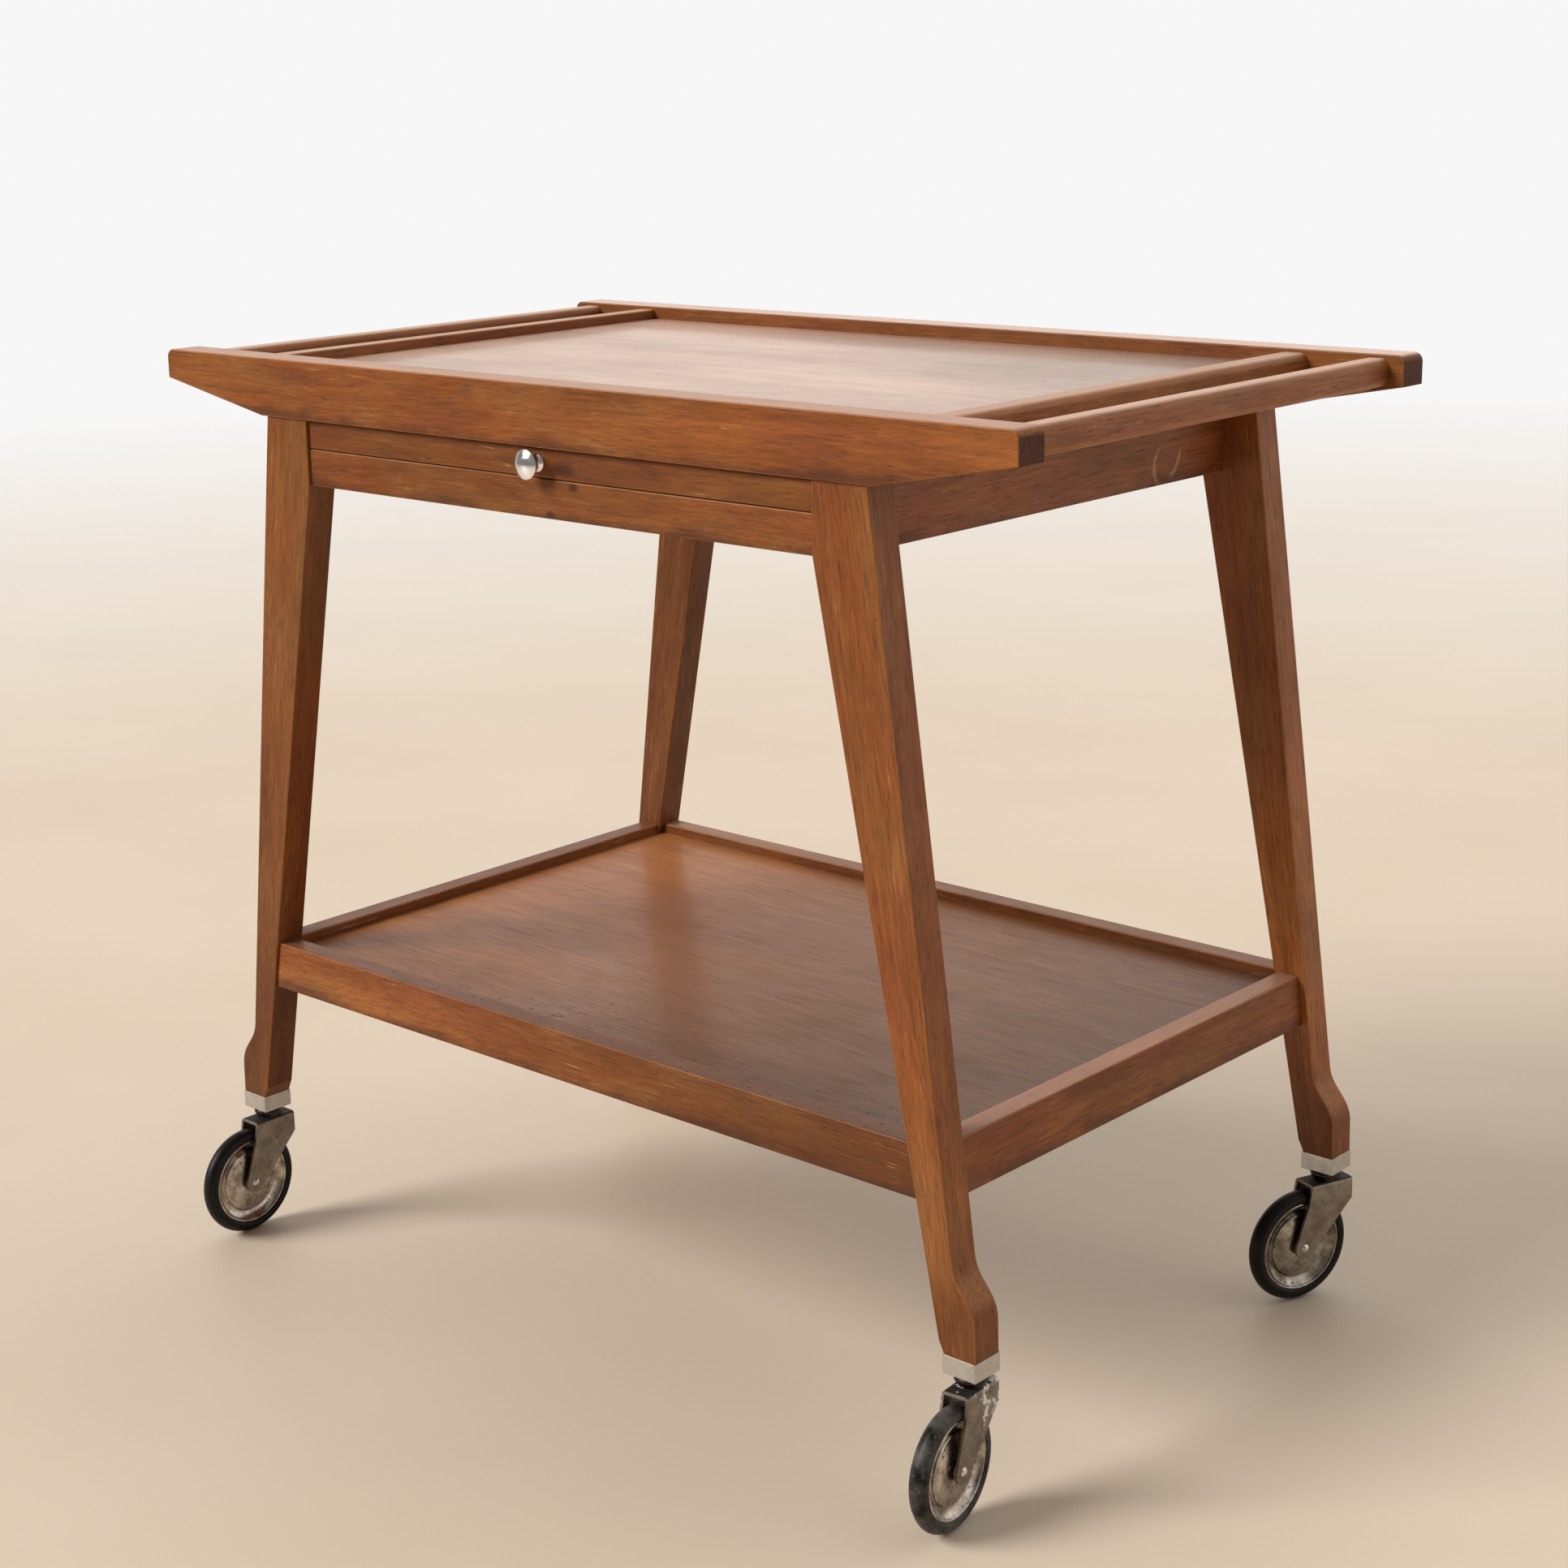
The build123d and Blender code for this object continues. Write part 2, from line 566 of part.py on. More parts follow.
# ---------------------------------------------------------------- lower shelf
def shelf_side_rail():
    """The back shelf rail, its ends cut to the splay of the legs."""
    top_x = leg_inner_x(SHELF_TOP_Z)
    bottom_x = leg_inner_x(SHELF_BOTTOM_Z)
    outline = [
        (-bottom_x, SHELF_BOTTOM_Z),
        (-top_x, SHELF_TOP_Z),
        (top_x, SHELF_TOP_Z),
        (bottom_x, SHELF_BOTTOM_Z),
    ]
    rail = prism_y(outline, SHELF_BACK_Y, SHELF_FACE_Y)
    rail = fillet(edges_along(rail, Axis.X), EDGE_ROUND)
    groove = block(
        (-HALF_LONG, HALF_LONG), (0, SHELF_BACK_Y + GROOVE_DEEP), (SHELF_PANEL_BOTTOM_Z, SHELF_TONGUE_TOP_Z)
    )
    return rail - groove - SHELF_DOWELS


def shelf_end_outer_x(z):
    """Outer face of a shelf end rail, which leans with the legs."""
    return SHELF_END_X + LEG_OUTER_SPLAY * (SHELF_MID_Z - z)


def shelf_end_rail():
    """The right shelf rail: its outer face leans with the legs, its inner face is upright."""
    outline = [
        (SHELF_INNER_X, SHELF_TOP_Z),
        (shelf_end_outer_x(SHELF_TOP_Z), SHELF_TOP_Z),
        (shelf_end_outer_x(SHELF_BOTTOM_Z), SHELF_BOTTOM_Z),
        (SHELF_INNER_X, SHELF_BOTTOM_Z),
    ]
    rail = prism_y(outline, -LEG_BACK_Y, LEG_BACK_Y)
    rail = fillet(edges_along(rail, Axis.Y), EDGE_ROUND)
    groove = block(
        (0, SHELF_INNER_X + GROOVE_DEEP), (-HALF_LONG, HALF_LONG), (SHELF_PANEL_BOTTOM_Z, SHELF_TONGUE_TOP_Z)
    )
    return rail - groove - SHELF_DOWELS


def shelf_panel():
    """The shelf's panel, notched round the four legs, with a tongue into each rail."""
    leg_x = leg_inner_x(SHELF_PANEL_TOP_Z) - SHELF_PANEL_PLAY
    leg_y = LEG_BACK_Y - SHELF_PANEL_PLAY
    tongue_x = SHELF_INNER_X + GROOVE_DEEP
    tongue_y = SHELF_BACK_Y + GROOVE_DEEP
    full = (SHELF_PANEL_BOTTOM_Z, SHELF_PANEL_TOP_Z)
    tongue = (SHELF_PANEL_BOTTOM_Z, SHELF_TONGUE_TOP_Z)
    panel = block((-leg_x, leg_x), (-SHELF_BACK_Y, SHELF_BACK_Y), full)
    panel = panel + block((-SHELF_INNER_X, SHELF_INNER_X), (-leg_y, leg_y), full)
    panel = panel + block((-leg_x, leg_x), (-tongue_y, tongue_y), tongue)
    return panel + block((-tongue_x, tongue_x), (-leg_y, leg_y), tongue)


# ---------------------------------------------------------------- castors
def ferrule():
    """The square metal cap round the end of the back right leg."""
    half = FERRULE_SIDE / 2
    cap = block(
        (FERRULE_X - half, FERRULE_X + half),
        (LEG_MID_Y - half, LEG_MID_Y + half),
        (FERRULE_BOTTOM_Z, FERRULE_TOP_Z),
    )
    cap = fillet(edges_along(cap, Axis.Z), 0.8)
    cap = chamfer(cap.faces().sort_by(Axis.Z)[0].edges(), 0.4)
    inner = SPIGOT_SIDE / 2
    hollow = block(
        (FERRULE_X - inner, FERRULE_X + inner),
        (LEG_MID_Y - inner, LEG_MID_Y + inner),
        (FERRULE_FLOOR_Z, FERRULE_TOP_Z),
    )
    hole = rod((FERRULE_X, LEG_MID_Y, FERRULE_BOTTOM_Z), (0, 0, 1), FERRULE_FLOOR, SOCKET_DIAMETER)
    return cap - hollow - hole


def socket():
    """The steel sleeve in the back right leg, which the castor's stem turns in."""
    base = (FERRULE_X, LEG_MID_Y, FERRULE_BOTTOM_Z)
    length = SOCKET_TOP_Z - FERRULE_BOTTOM_Z
    sleeve = rod(base, (0, 0, 1), length, SOCKET_DIAMETER)
    return sleeve - rod(base, (0, 0, 1), length, STEM_DIAMETER + 2 * RUNNING_PLAY)


# The castor's own pieces are drawn with the swivel axis on Z and the wheel
# trailing along +X. castor_place turns and moves them to their corner.

def castor_stem():
    """The stem, riveted over under the fork's plate."""
    stem_base = FORK_TOP_Z - FORK_SHEET
    stem = rod((0, 0, stem_base), (0, 0, 1), STEM_TOP_Z - stem_base, STEM_DIAMETER)
    stem = chamfer(stem.edges().sort_by(Axis.Z)[-1], 1.0)
    rivet = Pos(0, 0, stem_base - 0.8) * Cone(STEM_R + 0.7, STEM_R + 2.0, 1.6)
    return stem + rivet


def castor_neck():
    """The ball race cup between the fork and the ferrule."""
    top = FERRULE_BOTTOM_Z - NECK_GAP
    cup_low = (NECK_R - 0.6, 0, FORK_TOP_Z + 2.2)
    cup_high = (NECK_R - 1.0, 0, top - 0.4)
    outline = (
        Polyline(
            (STEM_R, 0, top),
            (STEM_R, 0, FORK_TOP_Z),
            (NECK_BASE_R, 0, FORK_TOP_Z),
            (NECK_BASE_R, 0, FORK_TOP_Z + 1.2),
            cup_low,
        )
        + ThreePointArc(cup_low, (NECK_R, 0, (cup_low[2] + cup_high[2]) / 2), cup_high)
        + Polyline(cup_high, (NECK_R - 2.0, 0, top), (STEM_R, 0, top))
    )
    return revolve(make_face(outline), Axis.Z)


def circle_point(centre, radius, angle):
    """A point on a circle in the XZ plane, by its angle in degrees."""
    x = centre[0] + radius * math.cos(math.radians(angle))
    z = centre[1] + radius * math.sin(math.radians(angle))
    return (x, 0, z)


def tangent_angle(centre, radius, point, side):
    """Where a line from a point touches a circle, on the side +1 or -1."""
    dx = point[0] - centre[0]
    dz = point[1] - centre[1]
    swing = math.degrees(math.acos(radius / math.hypot(dx, dz)))
    return math.degrees(math.atan2(dz, dx)) + side * swing


def fork_side():
    """The outline of the fork seen from the side, round at the axle."""
    axle = (CASTOR_TRAIL, WHEEL_R)
    plate_front = CASTOR_TRAIL - FORK_FRONT
    plate_back = plate_front - FORK_LONG
    heel = (plate_back, WHEEL_R + FORK_HEEL_HIGH)
    waist = (CASTOR_TRAIL - FORK_WAIST[0], WHEEL_R + FORK_WAIST[1])
    start = tangent_angle(axle, FORK_END_R, heel, 1)
    end = tangent_angle(axle, FORK_END_R, waist, -1) + 360
    first = circle_point(axle, FORK_END_R, start)
    middle = circle_point(axle, FORK_END_R, (start + end) / 2)
    last = circle_point(axle, FORK_END_R, end)
    return make_face(
        ThreePointArc(first, middle, last)
        + Polyline(
            last,
            (waist[0], 0, waist[1]),
            (plate_front, 0, FORK_TOP_Z),
            (plate_back, 0, FORK_TOP_Z),
            (heel[0], 0, heel[1]),
            first,
        )
    )


def castor_fork():
    """The folded sheet fork: a top plate and two arms that taper to the axle."""
    half = FORK_WIDE / 2
    arms = extrude(Pos(0, half, 0) * fork_side(), FORK_WIDE, dir=(0, -1, 0))
    bends = edges_along(arms, Axis.X).group_by(Axis.Z)[-1]
    arms = fillet(bends, FORK_BEND_R)
    inner = half - FORK_SHEET
    gap = block((-60, 60), (-inner, inner), (0, FORK_TOP_Z - FORK_SHEET))
    inner_bends = edges_along(gap, Axis.X).group_by(Axis.Z)[-1]
    fork = arms - fillet(inner_bends, 0.6)
    fork = fork - rod((0, 0, FORK_TOP_Z - 5), (0, 0, 1), 10, STEM_DIAMETER)
    return fork - rod((CASTOR_TRAIL, -20, WHEEL_R), (0, 1, 0), 40, AXLE_DIAMETER)


def castor_axle():
    """The rivet through both arms, with a domed head on each side."""
    half = FORK_WIDE / 2
    head = revolve(
        make_face(
            Line((0, 0, half), (RIVET_HEAD_R, 0, half))
            + dome_arc(RIVET_HEAD_R, half, half + RIVET_HEAD_HIGH)
            + Line((0, 0, half + RIVET_HEAD_HIGH), (0, 0, half))
        ),
        Axis.Z,
    )
    shank = rod((0, 0, -half), (0, 0, 1), FORK_WIDE, AXLE_DIAMETER)
    axle = shank + head + mirror(head, Plane.XY)
    return Plane(origin=(CASTOR_TRAIL, 0, WHEEL_R), z_dir=(0, 1, 0)).location * axle


def wheel_pressing():
    """One half of the pressed steel wheel, hub at the origin, outside face up."""
    lip_r = TYRE_INNER_R - SHEET
    lip_outside = (TYRE_INNER_R, 0, RIM_LIP - 0.5)
    lip_inside = (lip_r, 0, RIM_LIP - 0.4)
    outer = (
        Line((TYRE_INNER_R, 0, 0), lip_outside)
        + ThreePointArc(lip_outside, (lip_r + 0.7, 0, RIM_LIP), lip_inside)
        + ThreePointArc(lip_inside, (COVE_R, 0, COVE), (WHEEL_WAIST_R, 0, WHEEL_WAIST))
        + Line((WHEEL_WAIST_R, 0, WHEEL_WAIST), (WHEEL_DISH_R, 0, WHEEL_DISH))
        + ThreePointArc((WHEEL_DISH_R, 0, WHEEL_DISH), (DISH_MID_R, 0, DISH_MID), (HUB_R, 0, HUB_SHOULDER))
        + Polyline(
            (HUB_R, 0, HUB_SHOULDER),
            (HUB_R - 0.6, 0, HUB_HALF_LONG),
            (HUB_BORE_R, 0, HUB_HALF_LONG),
            (HUB_BORE_R, 0, 0),
        )
    )
    inner = Polyline(
        (HUB_BORE_R, 0, 0),
        (HUB_BORE_R + SHEET, 0, 0),
        (HUB_BORE_R + SHEET, 0, HUB_SHOULDER - SHEET),
        (DISH_MID_R, 0, DISH_MID - SHEET),
        (WHEEL_DISH_R, 0, WHEEL_DISH - SHEET),
        (WHEEL_DISH_R + 0.8, 0, 0),
        (WHEEL_WAIST_R + 2.0, 0, 0),
        (COVE_R + 0.2, 0, COVE - SHEET),
        (lip_r, 0, RIM_LIP - 2.2),
        (lip_r, 0, 0),
        (TYRE_INNER_R, 0, 0),
    )
    return revolve(make_face(outer + inner), Axis.Z)


def wheel_place(piece):
    """A piece drawn about its hub, moved to the axle."""
    return Plane(origin=(CASTOR_TRAIL, 0, WHEEL_R), z_dir=(0, 1, 0)).location * piece


def wheel_disc():
    """The two halves of the wheel, back to back."""
    half = wheel_pressing()
    return [wheel_place(half), wheel_place(mirror(half, Plane.XY))]


def tyre():
    """The rubber tyre: slightly spread sides and a round crown."""
    bead = TYRE_HALF - 0.8
    outline = (
        Polyline(
            (TYRE_CROWN_R, 0, -TYRE_HALF),
            (TYRE_INNER_R, 0, -bead),
            (TYRE_INNER_R, 0, bead),
            (TYRE_CROWN_R, 0, TYRE_HALF),
        )
        + ThreePointArc((TYRE_CROWN_R, 0, TYRE_HALF), (WHEEL_R, 0, 0), (TYRE_CROWN_R, 0, -TYRE_HALF))
    )
    return wheel_place(revolve(make_face(outline), Axis.Z))


def castor_place(piece, corner):
    """A castor piece, turned to its trailing direction at one corner."""
    x = FERRULE_X if corner.endswith("right") else -FERRULE_X
    y = LEG_MID_Y if corner.startswith("back") else -LEG_MID_Y
    return Pos(x, y, 0) * Rot(0, 0, CASTOR_ANGLES[corner]) * piece


# ---------------------------------------------------------------- all the nodes
def all_nodes():
    """Every named piece of the cart."""
    nodes = {}
    nodes["back_side_rail"] = side_rail()
    nodes["front_side_rail"] = flip_y(nodes["back_side_rail"])
    nodes["right_handle_bar"] = end_bar(HANDLE_X)
    nodes["left_handle_bar"] = flip_x(nodes["right_handle_bar"])
    nodes["right_tray_end_bar"] = tray_end_bar()
    nodes["left_tray_end_bar"] = flip_x(nodes["right_tray_end_bar"])
    nodes["top_panel"] = top_panel()

    nodes["front_lower_rail"] = front_lower_rail()
    nodes["back_apron"] = back_apron()
    nodes["right_end_apron"] = end_apron()
    nodes["left_end_apron"] = flip_x(nodes["right_end_apron"])
    nodes["back_right_leg"] = leg()
    nodes["back_left_leg"] = flip_x(nodes["back_right_leg"])
    nodes["front_right_leg"] = flip_y(nodes["back_right_leg"])
    nodes["front_left_leg"] = flip_y(nodes["back_left_leg"])
    nodes["frame_dowels"] = FRAME_DOWELS

    nodes["right_leaf_runner"] = leaf_runner()
    nodes["left_leaf_runner"] = flip_x(nodes["right_leaf_runner"])
    nodes["runner_screws"] = RIGHT_RUNNER_SCREWS + [flip_x(screw) for screw in RIGHT_RUNNER_SCREWS]
    nodes["leaf_board"] = leaf_board()
    nodes["leaf_front"] = leaf_front()
    nodes["leaf_stop"] = leaf_stop()
    nodes["leaf_stop_screws"] = STOP_SCREWS
    nodes["leaf_knob"] = leaf_knob()
    nodes["leaf_knob_screw"] = knob_screw()

    nodes["back_shelf_rail"] = shelf_side_rail()
    nodes["front_shelf_rail"] = flip_y(nodes["back_shelf_rail"])
    nodes["right_shelf_rail"] = shelf_end_rail()
    nodes["left_shelf_rail"] = flip_x(nodes["right_shelf_rail"])
    nodes["shelf_panel"] = shelf_panel()
    nodes["shelf_dowels"] = SHELF_DOWELS

    back_right_ferrule = ferrule()
    nodes["back_right_ferrule"] = back_right_ferrule
    nodes["back_left_ferrule"] = flip_x(back_right_ferrule)
    nodes["front_right_ferrule"] = flip_y(back_right_ferrule)
    nodes["front_left_ferrule"] = flip_x(nodes["front_right_ferrule"])
    nodes["castor_sockets"] = four_corners([socket()])
    for corner in CASTOR_ANGLES:
        nodes[f"{corner}_castor_stem"] = castor_place(castor_stem(), corner)
        nodes[f"{corner}_castor_neck"] = castor_place(castor_neck(), corner)
        nodes[f"{corner}_castor_fork"] = castor_place(castor_fork(), corner)
        nodes[f"{corner}_castor_axle"] = castor_place(castor_axle(), corner)
        nodes[f"{corner}_wheel_disc"] = [castor_place(half, corner) for half in wheel_disc()]
        nodes[f"{corner}_tyre"] = castor_place(tyre(), corner)
    return nodes


os.makedirs("parts", exist_ok=True)
for name, shape in all_nodes().items():
    whole = Compound(children=shape) if isinstance(shape, list) else shape
    export_step(whole, f"parts/{name}.step")
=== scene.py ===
import json
import math

import bpy
from mathutils import Matrix, Vector

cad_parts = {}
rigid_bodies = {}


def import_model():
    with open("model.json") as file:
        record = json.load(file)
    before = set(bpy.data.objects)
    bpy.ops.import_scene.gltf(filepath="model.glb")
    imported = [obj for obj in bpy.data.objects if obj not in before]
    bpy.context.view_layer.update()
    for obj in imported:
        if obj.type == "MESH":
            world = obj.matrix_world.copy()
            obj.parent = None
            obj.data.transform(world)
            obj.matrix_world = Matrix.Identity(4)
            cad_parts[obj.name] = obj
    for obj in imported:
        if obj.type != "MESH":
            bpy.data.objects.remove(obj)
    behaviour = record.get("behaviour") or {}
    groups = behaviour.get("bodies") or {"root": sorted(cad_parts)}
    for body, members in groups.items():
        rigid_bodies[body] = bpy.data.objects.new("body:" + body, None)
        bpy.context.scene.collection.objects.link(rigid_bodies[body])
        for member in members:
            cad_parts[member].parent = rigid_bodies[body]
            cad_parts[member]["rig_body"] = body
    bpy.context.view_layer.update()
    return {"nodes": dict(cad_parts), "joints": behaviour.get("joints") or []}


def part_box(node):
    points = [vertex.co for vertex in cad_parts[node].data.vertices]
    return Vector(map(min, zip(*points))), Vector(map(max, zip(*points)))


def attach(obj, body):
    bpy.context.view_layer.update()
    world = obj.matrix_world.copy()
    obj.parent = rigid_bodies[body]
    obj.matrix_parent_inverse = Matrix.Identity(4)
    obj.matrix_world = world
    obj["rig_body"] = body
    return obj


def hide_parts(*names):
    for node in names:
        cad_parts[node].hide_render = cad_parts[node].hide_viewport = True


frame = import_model()
NODES = frame["nodes"]
JOINTS = {joint["name"]: joint for joint in frame["joints"]}
CORNERS = ("front_left", "front_right", "back_right", "back_left")
MM = 0.001
RIGHT, BACK, UP = (1, 0, 0), (0, 1, 0), (0, 0, 1)
X, Y = Vector(RIGHT), Vector(BACK)
LEG_LEAN = 0.165  # how far a leg's grain runs outwards for each metre down


# ---------------------------------------------------------------- shader helpers
# The numbers of a colour Mix node's two inputs and its output.
MIX_A, MIX_B, MIX_RESULT = 6, 7, 2


class Shader:
    """A material's node tree, with one short call for each kind of node."""

    def __init__(self, name):
        self.material = bpy.data.materials.new(name)
        self.material.use_nodes = True
        self.tree = self.material.node_tree
        self.tree.nodes.clear()
        coordinates = self.tree.nodes.new("ShaderNodeTexCoord")
        self.place = coordinates.outputs["Object"]
        self.facing = coordinates.outputs["Normal"]

    def add(self, kind, inputs, **settings):
        """A node, its inputs linked to sockets or set to values."""
        node = self.tree.nodes.new("ShaderNode" + kind)
        for key, value in settings.items():
            setattr(node, key, value)
        for key, value in inputs.items():
            if isinstance(value, bpy.types.NodeSocket):
                self.tree.links.new(value, node.inputs[key])
            else:
                node.inputs[key].default_value = value
        return node

    def math(self, operation, a, b=0.0, clamp=False):
        """A sum, product or other operation on two numbers."""
        return self.add("Math", {0: a, 1: b}, operation=operation, use_clamp=clamp).outputs[0]

    def product(self, first, *others):
        """Numbers multiplied together."""
        for other in others:
            first = self.math("MULTIPLY", first, other)
        return first

    def vector(self, operation, a, b=(0, 0, 0)):
        """An operation on two vectors; a number for a dot product or a length."""
        node = self.add("VectorMath", {0: a, 1: b}, operation=operation)
        return node.outputs["Value" if operation in ("DOT_PRODUCT", "LENGTH") else "Vector"]

    def along(self, direction):
        """How far the place lies along a direction, in metres."""
        return self.vector("DOT_PRODUCT", self.place, direction)

    def upward(self, low, high):
        """1 on the faces that look up and 0 on the others; low and high are cosines."""
        return self.spread(self.vector("DOT_PRODUCT", self.facing, UP), low, high)

    def combine(self, x, y, z):
        """A vector or colour from three numbers."""
        return self.add("CombineXYZ", {0: x, 1: y, 2: z}).outputs[0]

    def spread(self, value, low, high, to_low=0.0, to_high=1.0):
        """The value between low and high, clamped, as a number between to_low and to_high."""
        limits = {"From Min": low, "From Max": high, "To Min": to_low, "To Max": to_high}
        return self.add("MapRange", {"Value": value, **limits}).outputs[0]

    def mix(self, share, a, b, blend="MIX"):
        """Two colours, mixed."""
        inputs = {0: share, MIX_A: a, MIX_B: b}
        node = self.add("Mix", inputs, data_type="RGBA", blend_type=blend)
        return node.outputs[MIX_RESULT]

    def darken(self, base, shade):
        """A colour multiplied by a number."""
        return self.mix(1.0, base, self.combine(shade, shade, shade), "MULTIPLY")

    def ramp(self, value, stops):
        """A colour for a number, from stops of (position, colour)."""
        node = self.add("ValToRGB", {0: value})
        elements = node.color_ramp.elements
        while len(elements) < len(stops):
            elements.new(0.5)
        for element, (position, stop_colour) in zip(elements, stops):
            element.position = position
            element.color = colour(*stop_colour)
        return node.outputs[0]

    def noise(self, place, size, detail=2.0, roughness=0.5, seed=0.0):
        """Soft noise; size is how many features there are in a metre, on each axis."""
        scaled = self.vector("MULTIPLY", place, size)
        node = self.add(
            "TexNoise",
            {"Vector": scaled, "W": seed, "Scale": 1.0, "Detail": detail, "Roughness": roughness},
            noise_dimensions="4D",
        )
        return node.outputs[0]

    def dots(self, place, per_metre, radius, share, seed=0.0):
        """Round dots, 1 inside and 0 outside.

        A metre has room for per_metre dots in a row, share is the part of them that is
        there, and radius is in parts of the space for one.
        """
        scaled = self.vector("MULTIPLY", place, (per_metre,) * 3)
        scaled = self.vector("ADD", scaled, (7.3 * seed,) * 3)
        node = self.add("TexVoronoi", {"Vector": scaled, "Scale": 1.0}, feature="F1")
        inside = self.spread(node.outputs["Distance"], radius, 0.6 * radius)
        chance = self.vector("DOT_PRODUCT", node.outputs["Color"], (1, 0, 0))  # its red
        picked = self.math("LESS_THAN", chance, share)
        return self.product(inside, picked)

    def bump(self, height, distance, strength):
        """A normal for relief of a height up to distance, in metres."""
        inputs = {"Height": height, "Distance": distance, "Strength": strength}
        return self.add("Bump", inputs).outputs[0]

    def finish(self, inputs):
        """The surface shader and the output. Returns the material."""
        surface = self.add("BsdfPrincipled", inputs)
        self.add("OutputMaterial", {"Surface": surface.outputs[0]})
        return self.material


def colour(red, green, blue):
    """An opaque colour, in linear light."""
    return (red, green, blue, 1)


# ---------------------------------------------------------------- wood
PORE = colour(0.040, 0.0130, 0.0050)
SCRATCH = colour(0.57, 0.34, 0.18)
# The next colour is for knots and for a painted shadow of the knob.
KNOT_AND_SHADOW = colour(0.045, 0.0115, 0.0045)
RING = colour(0.46, 0.29, 0.19)
# The next colour darkens the lower edges of rails and aprons.
HEM_DARK = colour(0.065, 0.021, 0.010)
PIN_HOLE = colour(0.016, 0.007, 0.005)
RUBBED = colour(0.52, 0.215, 0.070)
END_DARK, END_PALE = (0.040, 0.0115, 0.0050), (0.112, 0.036, 0.0160)
PANEL_PORE = colour(0.040, 0.018, 0.010)
PANEL_STAIN = colour(0.190, 0.080, 0.045)
PANEL_SPOT = colour(0.008, 0.004, 0.003)

# Colours mixed onto the upper faces of the boards. The pale ones are partly real fading and partly
# a painted highlight, the sheen a lit top catches; the dark one only makes a top darker.
DARKER_TOP = (0.150, 0.066, 0.040)
FADED_SHEEN_TOP = (0.60, 0.385, 0.275)
PALE_SHEEN_TOP = (0.72, 0.49, 0.375)
PALEST_SHEEN_TOP = (0.86, 0.66, 0.56)


def grain_frame(along):
    """Unit vectors along, across and through a board whose grain runs one way."""
    along = along.normalized()
    through = Y if abs(along.dot(Y)) < 0.5 else X
    return along, through.cross(along).normalized(), through


def edge_and_end(shader, frame_vectors):
    """Masks of the rounded edges and of the end grain, from the surface's direction."""
    along, across, through = (
        shader.math("ABSOLUTE", shader.vector("DOT_PRODUCT", shader.facing, tuple(v)))
        for v in frame_vectors
    )
    flattest = shader.math("MAXIMUM", along, shader.math("MAXIMUM", across, through))
    edge = shader.spread(flattest, 0.992, 0.90)
    end = shader.spread(along, 0.50, 0.98)
    return edge, end


def brightness_gradient(shader, fade):
    """Brightness that changes along a direction, between two places on it: painted light and shade,
    and the darker feet of the legs.
    """
    direction, start, stop, at_start, at_stop = fade
    return shader.spread(shader.along(direction), start, stop, at_start, at_stop)


def board_place(shader, vectors, seed):
    """The place along, across and through a board's grain, which wanders a little."""
    parts = [shader.along(tuple(v)) for v in vectors]
    place = shader.combine(*parts)
    place = shader.vector("ADD", place, (seed * 1.37, seed * 0.61, seed * 0.83))
    bend = shader.noise(place, (2.5, 8, 8), 1, seed=seed)
    shift = shader.math("MULTIPLY", shader.math("SUBTRACT", bend, 0.5), 0.02)
    return shader.vector("ADD", place, shader.combine(0.0, shift, shift))


def teak_colour(shader, place, seed, tone, red):
    """Bands along the grain, with amber patches and ruddy ones."""
    dark = (0.185 * tone, 0.0500 * tone * (1 - red), 0.0115 * tone)
    middle = (0.272 * tone, 0.0820 * tone * (1 - red), 0.0175 * tone)
    light = (0.375 * tone, 0.1270 * tone * (1 - 0.7 * red), 0.0300 * tone)
    bands = shader.spread(shader.noise(place, (2.2, 36, 36), 4, 0.62, seed), 0.28, 0.72)
    base = shader.ramp(bands, [(0.0, dark), (0.48, middle), (1.0, light)])
    tint = shader.noise(place, (7, 20, 20), 4, 0.62, seed + 19)
    amber = shader.spread(tint, 0.50, 0.62, 0.0, 0.60)
    base = shader.mix(amber, base, colour(0.290 * tone, 0.118 * tone, 0.033 * tone))
    ruddy = shader.spread(tint, 0.47, 0.37, 0.0, 0.60)
    return shader.mix(ruddy, base, colour(0.250 * tone, 0.066 * tone, 0.0220 * tone))


def add_knots_and_shadows(shader, base, knots_and_shadows, mottle):
    """Dark knots with uneven outlines, and a painted shadow of the knob drawn the same way."""
    for point, radii in knots_and_shadows:
        away = shader.vector("SUBTRACT", shader.place, point)
        away = shader.vector("MULTIPLY", away, tuple(1 / radius for radius in radii))
        uneven = shader.math("MULTIPLY", mottle, 0.8)
        reach = shader.math("ADD", shader.vector("LENGTH", away), uneven)
        base = shader.mix(shader.spread(reach, 1.45, 0.75, 0.0, 0.8), base, KNOT_AND_SHADOW)
    return base


def add_rings(shader, base, rings, fibre):
    """Pale curved scratches."""
    for centre, radius, middle, reach in rings:
        far = shader.vector("LENGTH", shader.vector("SUBTRACT", shader.place, centre))
        off = shader.math("ABSOLUTE", shader.math("SUBTRACT", far, radius))
        near = shader.vector("LENGTH", shader.vector("SUBTRACT", shader.place, middle))
        line = shader.product(
            shader.spread(off, 0.0021, 0.0007),
            shader.spread(near, reach, 0.7 * reach),
            shader.spread(fibre, 0.35, 0.55, 0.2, 0.65),
        )
        base = shader.mix(line, base, RING)
    return base


